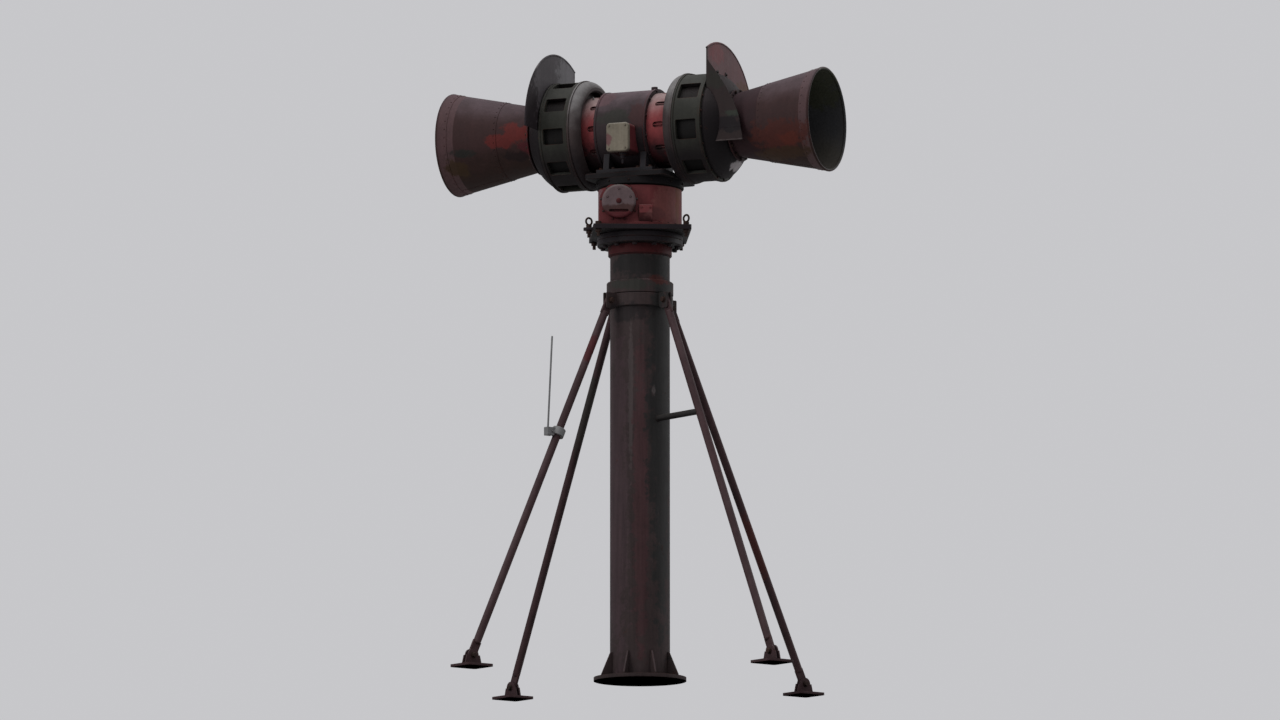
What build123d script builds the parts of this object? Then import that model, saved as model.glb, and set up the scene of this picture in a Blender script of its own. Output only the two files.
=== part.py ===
"""A rotating double-ended warning siren on a braced pipe mast.

The origin is the centre of the mast's base flange, on the roof deck, and +Z is up. The siren's
shaft lies along X. Lengths are millimetres and angles are degrees. The head is the same at both
ends when it is turned half round, apart from the number of ports in each chopper casing.
"""

from build123d import *
from math import atan2, cos, degrees, radians, sin, sqrt, tan
import os

os.makedirs("parts", exist_ok=True)

# Clearances
SEAT_GAP = 0.3
RUNNING_GAP = 6.0

# Mast
MAST_TOP = 2429.0
MAST_RADIUS = 161.95
MAST_WALL = 9.5
BASE_FLANGE_RADIUS = 250.0
BASE_FLANGE_THICKNESS = 20.0
ANCHOR_CIRCLE_RADIUS = 215.0
ANCHOR_HOLE_RADIUS = 11.0
ANCHOR_COUNT = 8
GUSSET_REACH = 62.0
GUSSET_HEIGHT = 130.0
GUSSET_THICKNESS = 10.0
SLEEVE_WALL = 11.0
SLEEVE_HEIGHT = 115.0
SLEEVE_CHAMFER = 3.0
COLLAR_HEIGHT = 60.0
COLLAR_WALL = 19.0
COLLAR_CHAMFER = 4.0
COLLAR_DROP = 145.0

# Head plate on the mast
HEAD_PLATE_SIDE = 530.0
HEAD_PLATE_THICKNESS = 26.0
HEAD_PLATE_TURN = 26.0
HEAD_PLATE_CHAMFER = 6.0
HEAD_BOLT_INSET = 38.8
HEAD_BOLT_SHANK_RADIUS = 9.0
HEAD_BOLT_TAIL = 38.0
EDGE_LUG_RADIUS = 337.0
EDGE_LUG_AZIMUTH = -122.0
EDGE_LUG_WIDTH = 60.0
EDGE_LUG_LENGTH = 110.0
EDGE_LUG_THICKNESS = 14.0
HEAD_NUT_RADIUS = 17.0
HEAD_NUT_HEIGHT = 16.0
EYE_RING_RADIUS = 19.0
EYE_WIRE_RADIUS = 5.5

# Legs and feet
LEG_AZIMUTHS = {"near_right": -29.0, "far_right": 61.0, "far_left": 151.0, "near_left": 241.0}
LEG_RADIUS = 21.1
LEG_SLOPE = 0.45
CLAMP_HEIGHT = 46.0
CLAMP_WALL = 17.0
LUG_REACH = 90.0
LUG_HEIGHT = 74.0
LUG_THICKNESS = 9.0
LUG_CORNER = 16.0
TONGUE_THICKNESS = 14.0
TONGUE_WIDTH = 50.0
TONGUE_LENGTH = 95.0
TONGUE_ROOT = 16.0
PIN_HOLE_RADIUS = 9.0
TOP_PIN_OFFSET = 52.0
TOP_PIN_DROP = 39.0
FOOT_SIDE = 170.0
FOOT_THICKNESS = 14.0
FOOT_PIN_HEIGHT = 62.0
FOOT_LUG_WIDTH = 84.0
FOOT_LUG_ANGLE = 76.0
FOOT_HOLE_RADIUS = 9.0
FOOT_HOLE_SPACING = 120.0
BRACE_RADIUS = 16.7
BRACE_HEIGHT = 1413.0

# Lightning rod
ROD_RADIUS = 5.0
ROD_TIP_ROUNDING = 4.0
ROD_LENGTH = 540.0
ROD_LEAN = 2.5
ROD_FOOT_HEIGHT = 1285.0
ROD_STANDOFF = 22.0
ROD_CLAMP_HEIGHT = 44.0
ROD_CLAMP_WIDTH = 36.0
ROD_CLAMP_LIP = 8.0

# Slewing gear
DRUM_RADIUS = 227.0
DRUM_HEIGHT = 221.0
DRUM_FLANGE_RADIUS = 240.0
DRUM_FLANGE_HEIGHT = 18.0
RACE_OUTER_RADIUS = 165.0
RACE_INNER_RADIUS = 105.0
SPINDLE_RADIUS = 50.0
SPINDLE_RISE = 38.0
SLEW_MOTOR_RADIUS = 92.0
SLEW_MOTOR_FACE = 272.0
SLEW_MOTOR_OFFSET = -114.0
SLEW_MOTOR_DROP = 96.0
SLEW_MOTOR_EDGE = 14.0
SLEW_SLOT_DROP = 53.0
SLEW_SLOT_LENGTH = 106.0
SLEW_SLOT_WIDTH = 14.0
SLEW_SLOT_DEPTH = 14.0
SLEW_HOUSING_RADIUS = 106.0
SLEW_HOUSING_FACE = 228.0
FILLER_WIDTH = 71.0
FILLER_HEIGHT = 88.0
FILLER_FACE = 262.0
FILLER_OFFSET = 32.0
FILLER_LIP = 8.0
VIEW_AZIMUTH = -67.0

# Turntable and cradle
RING_RADIUS = 238.0
RING_HEIGHT = 41.0
RING_EDGE = 6.0
TABLE_THICKNESS = 30.0
TABLE_LENGTH = 472.0
TABLE_WIDTH = 452.0
TABLE_CORNER = 26.0
TABLE_CHAMFER = 5.0
CRADLE_STATIONS = (-118.0, 98.0)
CRADLE_WEB = 34.0
CRADLE_HALF_WIDTH = 196.0
CRADLE_RISE = 128.0
RAIL_WIDTH = 60.0
RAIL_HEIGHT = 22.0
RAIL_LENGTH = 330.0

# Motor
SHAFT_ABOVE_TABLE = 247.0
BAND_RADIUS = 229.0
BAND_LEFT = -178.0
BAND_RIGHT = 122.0
BAND_RIM_WIDTH = 12.0
BAND_RIM_HEIGHT = 3.5
BELL_RADIUS = 205.0
BELL_EDGE = 16.0
VENT_COUNT = 10
VENT_LENGTH = 62.0
VENT_WIDTH = 30.0
VENT_DEPTH = 14.0
VENT_STATION = 192.0
LIFTING_LUG_STATION = 86.0
LIFTING_LUG_LENGTH = 36.0
LIFTING_LUG_WIDTH = 26.0
LIFTING_LUG_HEIGHT = 16.0
LIFTING_LUG_EDGE = 4.0

# Terminal box on the motor's near side
BOX_LEFT = -63.0
BOX_RIGHT = 68.0
BOX_TOP = 4.0
BOX_BOTTOM = -155.0
BOX_FACE = 300.0
BOX_LID_DEPTH = 24.0
BOX_LID_EDGE = 9.0
BOX_CORNER = 20.0

# Chopper casings, stations measured outboard from the mast's axis
COVER_FACE = 243.0
COVER_WALL_STATION = 290.0
COVER_WALL = 9.0
COVER_LIP_RADIUS = 237.0
COVER_LIP_CROWN = 262.0
CASING_INNER_STATION = 306.0
CASING_OUTER_STATION = 474.0
CASING_RADIUS = 296.0
CASING_WALL = 24.0
CASING_RIM = 6.0
CASING_RIM_WIDTH = 9.0
PORT_LENGTH = 118.0
PORT_SHARE = 0.46
PORT_CORNER = 8.0
PORT_COUNTS = {"left": 10, "right": 8}
SHAFT_RADIUS = 26.0
SHAFT_END_STATION = 434.0
SHAFT_CHAMFER = 4.0
HUB_RADIUS = 62.0
HUB_LENGTH = 88.0
ROTOR_GAP = 4.0
ROTOR_SHELL = 10.0
ROTOR_DISC = 10.0
ROTOR_VANE = 8.0
ROTOR_EYE_RADIUS = 120.0

# Dished outboard face
DISH_LIP_RADIUS = 281.0
DISH_LIP_WIDTH = 17.0
DISH_BULGE_STATION = 541.0
DISH_BULGE_RADIUS = 239.0
DISH_NECK_STATION = 582.0
DISH_WALL = 8.0

# Horns
HORN_ROOT_STATION = 520.0
HORN_MOUTH_STATION = 1090.0
HORN_ROOT_RADIUS = 160.0
HORN_MOUTH_RADIUS = 278.0
HORN_WALL = 4.0
HORN_BEAD_RADIUS = 7.5

# Half-round hoods
HOOD_RADIUS = 454.0
HOOD_THICKNESS = 5.0
HOOD_EDGE_RADIUS = 5.5
HOOD_CHORD = 217.0
CHEEK_ROOT_HEIGHT = 335.0
CHEEK_MIDDLE_STATION = 572.0
CHEEK_MIDDLE_HEIGHT = 214.0
CHEEK_LOWER_STATION = 633.0
CHEEK_LOWER_HEIGHT = 110.0
CHEEK_TIP_STATION = 681.0
CHEEK_TIP_HEIGHT = -49.0

# Heights and places that follow from the sizes above
SLEEVE_BOTTOM = MAST_TOP - SLEEVE_HEIGHT
COLLAR_TOP = SLEEVE_BOTTOM - COLLAR_DROP
CLAMP_TOP = COLLAR_TOP - COLLAR_HEIGHT
HEAD_PLATE_TOP = MAST_TOP + HEAD_PLATE_THICKNESS
HEAD_BOLT_RADIUS = HEAD_PLATE_SIDE / sqrt(2) - HEAD_BOLT_INSET
DRUM_TOP = HEAD_PLATE_TOP + DRUM_HEIGHT
RING_BOTTOM = DRUM_TOP + RUNNING_GAP
TABLE_BOTTOM = RING_BOTTOM + RING_HEIGHT
TABLE_TOP = TABLE_BOTTOM + TABLE_THICKNESS
SHAFT_HEIGHT = TABLE_TOP + SHAFT_ABOVE_TABLE
CLAMP_RADIUS = MAST_RADIUS + CLAMP_WALL
TOP_PIN_RADIUS = CLAMP_RADIUS + TOP_PIN_OFFSET
TOP_PIN_HEIGHT = CLAMP_TOP - TOP_PIN_DROP
FOOT_PIN_RADIUS = TOP_PIN_RADIUS + LEG_SLOPE * (TOP_PIN_HEIGHT - FOOT_PIN_HEIGHT)
LEG_TILT = degrees(atan2(LEG_SLOPE, 1))

MAST_AXIS = Axis.Z


def finish(builder, name):
    """Label a finished piece and write it as its own file."""
    builder.part.label = name
    export_step(builder.part, f"parts/{name}.step")


def around(azimuth, radius, height, normal=(0, 0, 1)):
    """A plane at a distance from the mast, its x pointing away from the mast."""
    turn = radians(azimuth)
    return Plane(
        origin=(radius * cos(turn), radius * sin(turn), height),
        x_dir=(cos(turn), sin(turn), 0),
        z_dir=normal,
    )


def leg_side(azimuth, offset=0.0):
    """The upright plane through a leg: x points away from the mast and y points up."""
    turn = radians(azimuth)
    normal = (sin(turn), -cos(turn), 0)
    origin = tuple(offset * n for n in normal)
    return Plane(origin=origin, x_dir=(cos(turn), sin(turn), 0), z_dir=normal)


def leg_radius_at(height):
    """How far a leg's centre line stands from the mast's axis at a height."""
    return TOP_PIN_RADIUS + LEG_SLOPE * (TOP_PIN_HEIGHT - height)


# Mast foot: a drilled flange, stiffened by triangular gussets
with BuildPart() as base_flange:
    with BuildSketch():
        Circle(BASE_FLANGE_RADIUS)
        with PolarLocations(ANCHOR_CIRCLE_RADIUS, ANCHOR_COUNT, start_angle=180 / ANCHOR_COUNT):
            Circle(ANCHOR_HOLE_RADIUS, mode=Mode.SUBTRACT)
    extrude(amount=BASE_FLANGE_THICKNESS)
finish(base_flange, "base_flange")

with BuildPart() as base_gussets:
    for number in range(ANCHOR_COUNT):
        turn = 360 / ANCHOR_COUNT * number
        with BuildSketch(leg_side(turn)):
            with BuildLine():
                root = MAST_RADIUS + SEAT_GAP
                foot = BASE_FLANGE_THICKNESS
                Polyline(
                    (root, foot),
                    (root + GUSSET_REACH, foot),
                    (root + GUSSET_REACH, foot + GUSSET_THICKNESS),
                    (root + GUSSET_THICKNESS, foot + GUSSET_HEIGHT),
                    (root, foot + GUSSET_HEIGHT),
                    close=True,
                )
            make_face()
        extrude(amount=GUSSET_THICKNESS / 2, both=True)
finish(base_gussets, "base_gussets")

# Mast pipe, its top sleeve and the plain collar above the leg clamp
with BuildPart() as mast_pipe:
    with BuildSketch(Plane.XY.offset(BASE_FLANGE_THICKNESS)):
        Circle(MAST_RADIUS)
        Circle(MAST_RADIUS - MAST_WALL, mode=Mode.SUBTRACT)
    extrude(amount=MAST_TOP - BASE_FLANGE_THICKNESS)
finish(mast_pipe, "mast_pipe")


def ring_on_mast(bottom, height, wall, chamfered):
    """A collar that slips over the mast pipe."""
    with BuildPart() as ring:
        with BuildSketch(Plane.XY.offset(bottom)):
            Circle(MAST_RADIUS + wall)
            Circle(MAST_RADIUS + SEAT_GAP, mode=Mode.SUBTRACT)
        extrude(amount=height)
        rims = ring.edges().filter_by(GeomType.CIRCLE).group_by(lambda edge: edge.radius)[-1]
        chamfer(rims, length=chamfered)
    return ring


mast_sleeve = ring_on_mast(SLEEVE_BOTTOM, SLEEVE_HEIGHT, SLEEVE_WALL, SLEEVE_CHAMFER)
finish(mast_sleeve, "mast_sleeve")
mast_collar = ring_on_mast(COLLAR_TOP - COLLAR_HEIGHT, COLLAR_HEIGHT, COLLAR_WALL, COLLAR_CHAMFER)
finish(mast_collar, "mast_collar")

# Clamp ring with four pairs of lugs that hold the legs
with BuildPart() as leg_clamp:
    with BuildSketch(Plane.XY.offset(CLAMP_TOP - CLAMP_HEIGHT)):
        Circle(CLAMP_RADIUS)
        Circle(MAST_RADIUS + SEAT_GAP, mode=Mode.SUBTRACT)
    extrude(amount=CLAMP_HEIGHT)
    for azimuth in LEG_AZIMUTHS.values():
        for side in (-1, 1):
            inner = side * (TONGUE_THICKNESS / 2 + SEAT_GAP)
            with BuildSketch(leg_side(azimuth, inner)):
                with BuildLine():
                    root = CLAMP_RADIUS - CLAMP_WALL / 2
                    FilletPolyline(
                        (root, CLAMP_TOP),
                        (CLAMP_RADIUS + LUG_REACH, CLAMP_TOP),
                        (CLAMP_RADIUS + LUG_REACH, CLAMP_TOP - LUG_HEIGHT),
                        (CLAMP_RADIUS + LUG_REACH / 3, CLAMP_TOP - LUG_HEIGHT),
                        (root, CLAMP_TOP - CLAMP_HEIGHT),
                        radius=LUG_CORNER / 2,
                    )
                    Line((root, CLAMP_TOP - CLAMP_HEIGHT), (root, CLAMP_TOP))
                make_face()
                with Locations((TOP_PIN_RADIUS, TOP_PIN_HEIGHT)):
                    Circle(PIN_HOLE_RADIUS, mode=Mode.SUBTRACT)
            extrude(amount=side * LUG_THICKNESS)
finish(leg_clamp, "leg_clamp")


# Legs: pipes with a flattened tongue at each end, pinned between two lugs
def make_leg(azimuth):
    """One leg, from the clamp's pin down to the foot's pin."""
    turn = radians(azimuth)
    run = FOOT_PIN_RADIUS - TOP_PIN_RADIUS
    rise = TOP_PIN_HEIGHT - FOOT_PIN_HEIGHT
    length = sqrt(run**2 + rise**2)
    upward = (-run * cos(turn), -run * sin(turn), rise)
    foot_pin = (FOOT_PIN_RADIUS * cos(turn), FOOT_PIN_RADIUS * sin(turn), FOOT_PIN_HEIGHT)
    along = Plane(origin=foot_pin, x_dir=(-sin(turn), cos(turn), 0), z_dir=upward)
    bare = TONGUE_LENGTH - TONGUE_WIDTH / 2
    with BuildPart() as leg:
        with BuildSketch(along.offset(bare)):
            Circle(LEG_RADIUS)
        extrude(amount=length - 2 * bare)
        tongue_side = Plane(origin=foot_pin, x_dir=upward, z_dir=along.x_dir)
        with BuildSketch(tongue_side):
            for station in (0, length):
                with Locations((station, 0)):
                    Circle(TONGUE_WIDTH / 2)
            for station in ((bare + TONGUE_ROOT) / 2, length - (bare + TONGUE_ROOT) / 2):
                with Locations((station, 0)):
                    Rectangle(bare + TONGUE_ROOT, TONGUE_WIDTH)
            for station in (0, length):
                with Locations((station, 0)):
                    Circle(PIN_HOLE_RADIUS, mode=Mode.SUBTRACT)
        extrude(amount=TONGUE_THICKNESS / 2, both=True)
    return leg


for place, azimuth in LEG_AZIMUTHS.items():
    finish(make_leg(azimuth), f"leg_{place}")


# Feet: a drilled plate with two lugs each
def make_foot(azimuth):
    """One foot, square to its leg."""
    with BuildPart() as foot:
        with BuildSketch(around(azimuth, FOOT_PIN_RADIUS, 0)):
            RectangleRounded(FOOT_SIDE, FOOT_SIDE, LUG_CORNER)
            with GridLocations(FOOT_HOLE_SPACING, FOOT_HOLE_SPACING, 2, 2):
                Circle(FOOT_HOLE_RADIUS, mode=Mode.SUBTRACT)
        extrude(amount=FOOT_THICKNESS)
        for side in (-1, 1):
            inner = side * (TONGUE_THICKNESS / 2 + SEAT_GAP)
            with BuildSketch(leg_side(azimuth, inner)):
                with Locations((FOOT_PIN_RADIUS, FOOT_PIN_HEIGHT)):
                    Circle(FOOT_LUG_WIDTH / 2 - LUG_CORNER / 2)
                with Locations((FOOT_PIN_RADIUS, FOOT_PIN_HEIGHT / 2)):
                    Trapezoid(FOOT_LUG_WIDTH + 2 * LUG_CORNER, FOOT_PIN_HEIGHT, FOOT_LUG_ANGLE)
                with Locations((FOOT_PIN_RADIUS, FOOT_PIN_HEIGHT)):
                    Circle(PIN_HOLE_RADIUS, mode=Mode.SUBTRACT)
            extrude(amount=side * LUG_THICKNESS)
    return foot


for place, azimuth in LEG_AZIMUTHS.items():
    finish(make_foot(azimuth), f"foot_{place}")

# Brace from the mast to the near right leg, coped to both pipes
brace_azimuth = LEG_AZIMUTHS["near_right"]
brace_end = leg_radius_at(BRACE_HEIGHT)
brace_turn = radians(brace_azimuth)
with BuildPart() as leg_brace:
    outward = (cos(brace_turn), sin(brace_turn), 0)
    with BuildSketch(Plane(origin=(0, 0, BRACE_HEIGHT), x_dir=(0, 0, 1), z_dir=outward)):
        Circle(BRACE_RADIUS)
    extrude(amount=brace_end)
    with BuildSketch(Plane.XY.offset(BRACE_HEIGHT - 2 * BRACE_RADIUS)):
        Circle(MAST_RADIUS + SEAT_GAP)
    extrude(amount=4 * BRACE_RADIUS, mode=Mode.SUBTRACT)
    slope = (LEG_SLOPE * cos(brace_turn), LEG_SLOPE * sin(brace_turn), -1)
    cope = Plane(origin=around(brace_azimuth, brace_end, BRACE_HEIGHT).origin, z_dir=slope)
    with BuildSketch(cope):
        Circle(LEG_RADIUS + SEAT_GAP)
    extrude(amount=4 * BRACE_RADIUS, both=True, mode=Mode.SUBTRACT)
finish(leg_brace, "leg_brace")

# Lightning rod and the clip that holds it to the near left leg
rod_azimuth = LEG_AZIMUTHS["near_left"]
rod_radius = leg_radius_at(ROD_FOOT_HEIGHT) + LEG_RADIUS / cos(radians(LEG_TILT)) + ROD_STANDOFF
rod_foot = around(rod_azimuth, rod_radius, ROD_FOOT_HEIGHT)
lean_turn = radians(VIEW_AZIMUTH + 90)
lean = tan(radians(ROD_LEAN))
rod_axis = (lean * cos(lean_turn), lean * sin(lean_turn), 1)
rod_plane = Plane(origin=rod_foot.origin, x_dir=(1, 0, -rod_axis[0]), z_dir=rod_axis)
with BuildPart() as lightning_rod:
    with BuildSketch(rod_plane):
        Circle(ROD_RADIUS)
    extrude(amount=ROD_LENGTH)
    fillet(lightning_rod.edges().sort_by(MAST_AXIS)[-1], radius=ROD_TIP_ROUNDING)
finish(lightning_rod, "lightning_rod")

clip_middle = ROD_FOOT_HEIGHT + ROD_CLAMP_HEIGHT / 2
clip_root = leg_radius_at(clip_middle)
clip_tip = rod_radius + ROD_RADIUS + ROD_CLAMP_LIP
with BuildPart() as rod_clamp:
    with BuildSketch(around(rod_azimuth, (clip_root + clip_tip) / 2, ROD_FOOT_HEIGHT)):
        Rectangle(clip_tip - clip_root, ROD_CLAMP_WIDTH)
    extrude(amount=ROD_CLAMP_HEIGHT)
    fillet(rod_clamp.edges().filter_by(Axis.Z), radius=ROD_CLAMP_LIP / 2)
    with BuildSketch(rod_plane.offset(-ROD_CLAMP_HEIGHT)):
        Circle(ROD_RADIUS + SEAT_GAP)
    extrude(amount=3 * ROD_CLAMP_HEIGHT, mode=Mode.SUBTRACT)
    leg_turn = radians(rod_azimuth)
    leg_down = (LEG_SLOPE * cos(leg_turn), LEG_SLOPE * sin(leg_turn), -1)
    with BuildSketch(Plane(origin=around(rod_azimuth, clip_root, clip_middle).origin, z_dir=leg_down)):
        Circle(LEG_RADIUS + SEAT_GAP)
    extrude(amount=2 * ROD_CLAMP_HEIGHT, both=True, mode=Mode.SUBTRACT)
finish(rod_clamp, "rod_clamp")

# Square head plate, turned so that its corners do not line up with the legs, with one edge lug
with BuildPart() as head_plate:
    with BuildSketch(around(HEAD_PLATE_TURN, 0, MAST_TOP)):
        Rectangle(HEAD_PLATE_SIDE, HEAD_PLATE_SIDE)
    extrude(amount=HEAD_PLATE_THICKNESS)
    chamfer(head_plate.edges().filter_by(Axis.Z), length=HEAD_PLATE_CHAMFER)
    lug_centre = around(EDGE_LUG_AZIMUTH, EDGE_LUG_RADIUS, MAST_TOP).origin
    edge_turn = radians(HEAD_PLATE_TURN + 180)
    edge_frame = Plane(origin=lug_centre, x_dir=(cos(edge_turn), sin(edge_turn), 0))
    with BuildSketch(edge_frame):
        with Locations((-EDGE_LUG_LENGTH / 2 + EDGE_LUG_WIDTH / 2, 0)):
            SlotOverall(EDGE_LUG_LENGTH, EDGE_LUG_WIDTH)
    extrude(amount=EDGE_LUG_THICKNESS)
    with BuildSketch(around(HEAD_PLATE_TURN, 0, MAST_TOP)):
        with PolarLocations(HEAD_BOLT_RADIUS, 4, start_angle=45):
            Circle(HEAD_BOLT_SHANK_RADIUS + SEAT_GAP)
    extrude(amount=HEAD_PLATE_THICKNESS, mode=Mode.SUBTRACT)
    with BuildSketch(edge_frame):
        Circle(HEAD_BOLT_SHANK_RADIUS + SEAT_GAP)
    extrude(amount=HEAD_PLATE_THICKNESS, mode=Mode.SUBTRACT)
finish(head_plate, "head_plate")


def make_head_bolt(azimuth, radius, grip, with_eye):
    """A bolt through the head plate, with a nut below and a head or an eye above."""
    spot = around(azimuth, radius, 0)
    seat = MAST_TOP + grip + SEAT_GAP
    with BuildPart() as bolt:
        with BuildSketch(spot.offset(MAST_TOP - HEAD_BOLT_TAIL)):
            Circle(HEAD_BOLT_SHANK_RADIUS)
        extrude(amount=HEAD_BOLT_TAIL + grip + 2 * SEAT_GAP)
        with BuildSketch(spot.offset(MAST_TOP - HEAD_NUT_HEIGHT - SEAT_GAP)):
            RegularPolygon(HEAD_NUT_RADIUS, 6)
        extrude(amount=HEAD_NUT_HEIGHT)
        with BuildSketch(spot.offset(seat)):
            RegularPolygon(HEAD_NUT_RADIUS, 6)
        extrude(amount=HEAD_NUT_HEIGHT)
        if with_eye:
            turn = radians(azimuth)
            centre = Vector(spot.origin.X, spot.origin.Y, seat + HEAD_NUT_HEIGHT + EYE_RING_RADIUS)
            with BuildSketch(Plane(origin=centre, x_dir=(0, 0, 1), z_dir=(cos(turn), sin(turn), 0))):
                with Locations((EYE_RING_RADIUS, 0)):
                    Circle(EYE_WIRE_RADIUS)
            revolve(axis=Axis(centre, (-sin(turn), cos(turn), 0)))
    return bolt


def plate_corner(number):
    """The azimuth of one of the head plate's corners, counted from its first."""
    return HEAD_PLATE_TURN + 45 + 90 * number


# Each bolt's azimuth and distance from the mast, the thickness it clamps, and whether it has an eye
HEAD_BOLTS = {
    "eyebolt_right": (plate_corner(-1), HEAD_BOLT_RADIUS, HEAD_PLATE_THICKNESS, True),
    "eyebolt_left": (EDGE_LUG_AZIMUTH, EDGE_LUG_RADIUS, EDGE_LUG_THICKNESS, True),
    "plate_bolt_near": (plate_corner(-2), HEAD_BOLT_RADIUS, HEAD_PLATE_THICKNESS, False),
    "plate_bolt_right": (plate_corner(0), HEAD_BOLT_RADIUS, HEAD_PLATE_THICKNESS, False),
    "plate_bolt_left": (plate_corner(1), HEAD_BOLT_RADIUS, HEAD_PLATE_THICKNESS, False),
}
for name, bolt_sizes in HEAD_BOLTS.items():
    finish(make_head_bolt(*bolt_sizes), name)

# Slewing gear housing with a tunnel for the motor that turns the head
across_view = Plane(
    origin=(0, 0, DRUM_TOP - SLEW_MOTOR_DROP),
    x_dir=(-sin(radians(VIEW_AZIMUTH)), cos(radians(VIEW_AZIMUTH)), 0),
    z_dir=(cos(radians(VIEW_AZIMUTH)), sin(radians(VIEW_AZIMUTH)), 0),
)
with BuildPart() as gear_drum:
    with BuildSketch(Plane.XY.offset(HEAD_PLATE_TOP)):
        Circle(DRUM_FLANGE_RADIUS)
    extrude(amount=DRUM_FLANGE_HEIGHT)
    with BuildSketch(Plane.XY.offset(HEAD_PLATE_TOP)):
        Circle(DRUM_RADIUS)
    extrude(amount=DRUM_HEIGHT)
    with BuildSketch(across_view):
        with Locations((SLEW_MOTOR_OFFSET, 0)):
            Circle(SLEW_HOUSING_RADIUS)
        with Locations((SLEW_MOTOR_OFFSET, -(DRUM_HEIGHT - SLEW_MOTOR_DROP) / 2)):
            Rectangle(2 * SLEW_HOUSING_RADIUS, DRUM_HEIGHT - SLEW_MOTOR_DROP)
        with Locations((SLEW_MOTOR_OFFSET, SLEW_MOTOR_DROP + SLEW_HOUSING_RADIUS)):
            Rectangle(4 * SLEW_HOUSING_RADIUS, 2 * SLEW_HOUSING_RADIUS, mode=Mode.SUBTRACT)
        with Locations((SLEW_MOTOR_OFFSET, -DRUM_HEIGHT + SLEW_MOTOR_DROP - SLEW_HOUSING_RADIUS)):
            Rectangle(4 * SLEW_HOUSING_RADIUS, 2 * SLEW_HOUSING_RADIUS, mode=Mode.SUBTRACT)
    extrude(amount=SLEW_HOUSING_FACE)
finish(gear_drum, "gear_drum")

with BuildPart() as slew_motor:
    with BuildSketch(across_view.offset(SLEW_HOUSING_FACE + SEAT_GAP)):
        with Locations((SLEW_MOTOR_OFFSET, 0)):
            Circle(SLEW_MOTOR_RADIUS)
    extrude(amount=SLEW_MOTOR_FACE - SLEW_HOUSING_FACE - SEAT_GAP)
    outer = slew_motor.faces().sort_by(Axis((0, 0, 0), across_view.z_dir))[-1]
    fillet(outer.edges(), radius=SLEW_MOTOR_EDGE)
    with BuildSketch(across_view.offset(SLEW_MOTOR_FACE)):
        with Locations((SLEW_MOTOR_OFFSET, -SLEW_SLOT_DROP)):
            SlotOverall(SLEW_SLOT_LENGTH, SLEW_SLOT_WIDTH)
    extrude(amount=-SLEW_SLOT_DEPTH, mode=Mode.SUBTRACT)
finish(slew_motor, "slew_motor")

facing_view = across_view.z_dir
filler_seat = Vector(0, 0, HEAD_PLATE_TOP + DRUM_FLANGE_HEIGHT + SEAT_GAP)
filler_side = Plane(
    origin=filler_seat + across_view.x_dir * FILLER_OFFSET,
    x_dir=facing_view,
    z_dir=facing_view.cross(Vector(0, 0, 1)),
)
with BuildPart() as filler_box:
    with BuildSketch(filler_side):
        with BuildLine():
            FilletPolyline(
                (DRUM_RADIUS - FILLER_LIP * 2, 0),
                (DRUM_RADIUS + FILLER_LIP, 0),
                (FILLER_FACE, FILLER_HEIGHT / 2),
                (FILLER_FACE, FILLER_HEIGHT),
                (DRUM_RADIUS - FILLER_LIP * 2, FILLER_HEIGHT),
                radius=FILLER_LIP / 2,
            )
            Line((DRUM_RADIUS - FILLER_LIP * 2, FILLER_HEIGHT), (DRUM_RADIUS - FILLER_LIP * 2, 0))
        make_face()
    extrude(amount=FILLER_WIDTH / 2, both=True)
    with BuildSketch(Plane.XY.offset(HEAD_PLATE_TOP)):
        Circle(DRUM_RADIUS + SEAT_GAP)
    extrude(amount=DRUM_HEIGHT, mode=Mode.SUBTRACT)
finish(filler_box, "filler_box")

# Fixed bearing race and spindle that carry the head
with BuildPart() as slew_bearing:
    with BuildSketch(Plane.XY.offset(DRUM_TOP)):
        Circle(RACE_OUTER_RADIUS)
        Circle(RACE_INNER_RADIUS, mode=Mode.SUBTRACT)
        Circle(SPINDLE_RADIUS)
    extrude(amount=RUNNING_GAP - SEAT_GAP)
    with BuildSketch(Plane.XY.offset(DRUM_TOP)):
        Circle(SPINDLE_RADIUS)
    extrude(amount=SPINDLE_RISE)
finish(slew_bearing, "slew_bearing")

# Turntable
with BuildPart() as turntable_ring:
    with BuildSketch(Plane.XY.offset(RING_BOTTOM)):
        Circle(RING_RADIUS)
        Circle(SPINDLE_RADIUS + 2 * SEAT_GAP, mode=Mode.SUBTRACT)
    extrude(amount=RING_HEIGHT)
    low_circles = turntable_ring.edges().filter_by(GeomType.CIRCLE).group_by(MAST_AXIS)[0]
    fillet(low_circles.sort_by(SortBy.RADIUS)[-1], radius=RING_EDGE)
finish(turntable_ring, "turntable_ring")

with BuildPart() as turntable_plate:
    with BuildSketch(Plane.XY.offset(TABLE_BOTTOM)):
        RectangleRounded(TABLE_LENGTH, TABLE_WIDTH, TABLE_CORNER)
    extrude(amount=TABLE_THICKNESS)
    chamfer(turntable_plate.faces().sort_by(MAST_AXIS)[-1].edges(), length=TABLE_CHAMFER)
finish(turntable_plate, "turntable_plate")

SHAFT_AXIS = Axis((0, 0, SHAFT_HEIGHT), (1, 0, 0))


def shaft_section(end, aside=0.0):
    """The upright plane along the shaft: x points outboard and y points up."""
    return Plane(origin=(0, aside, SHAFT_HEIGHT), x_dir=(end, 0, 0), z_dir=(0, -end, 0))


def shaft_cross(end, station):
    """The plane across the shaft, facing outboard, its y pointing up."""
    return Plane(origin=(end * station, 0, SHAFT_HEIGHT), x_dir=(0, end, 0), z_dir=(end, 0, 0))


def off_shaft(turn):
    """The direction square to the shaft, from level on the near side round over the top."""
    return Vector(0, -cos(radians(turn)), sin(radians(turn)))


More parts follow.
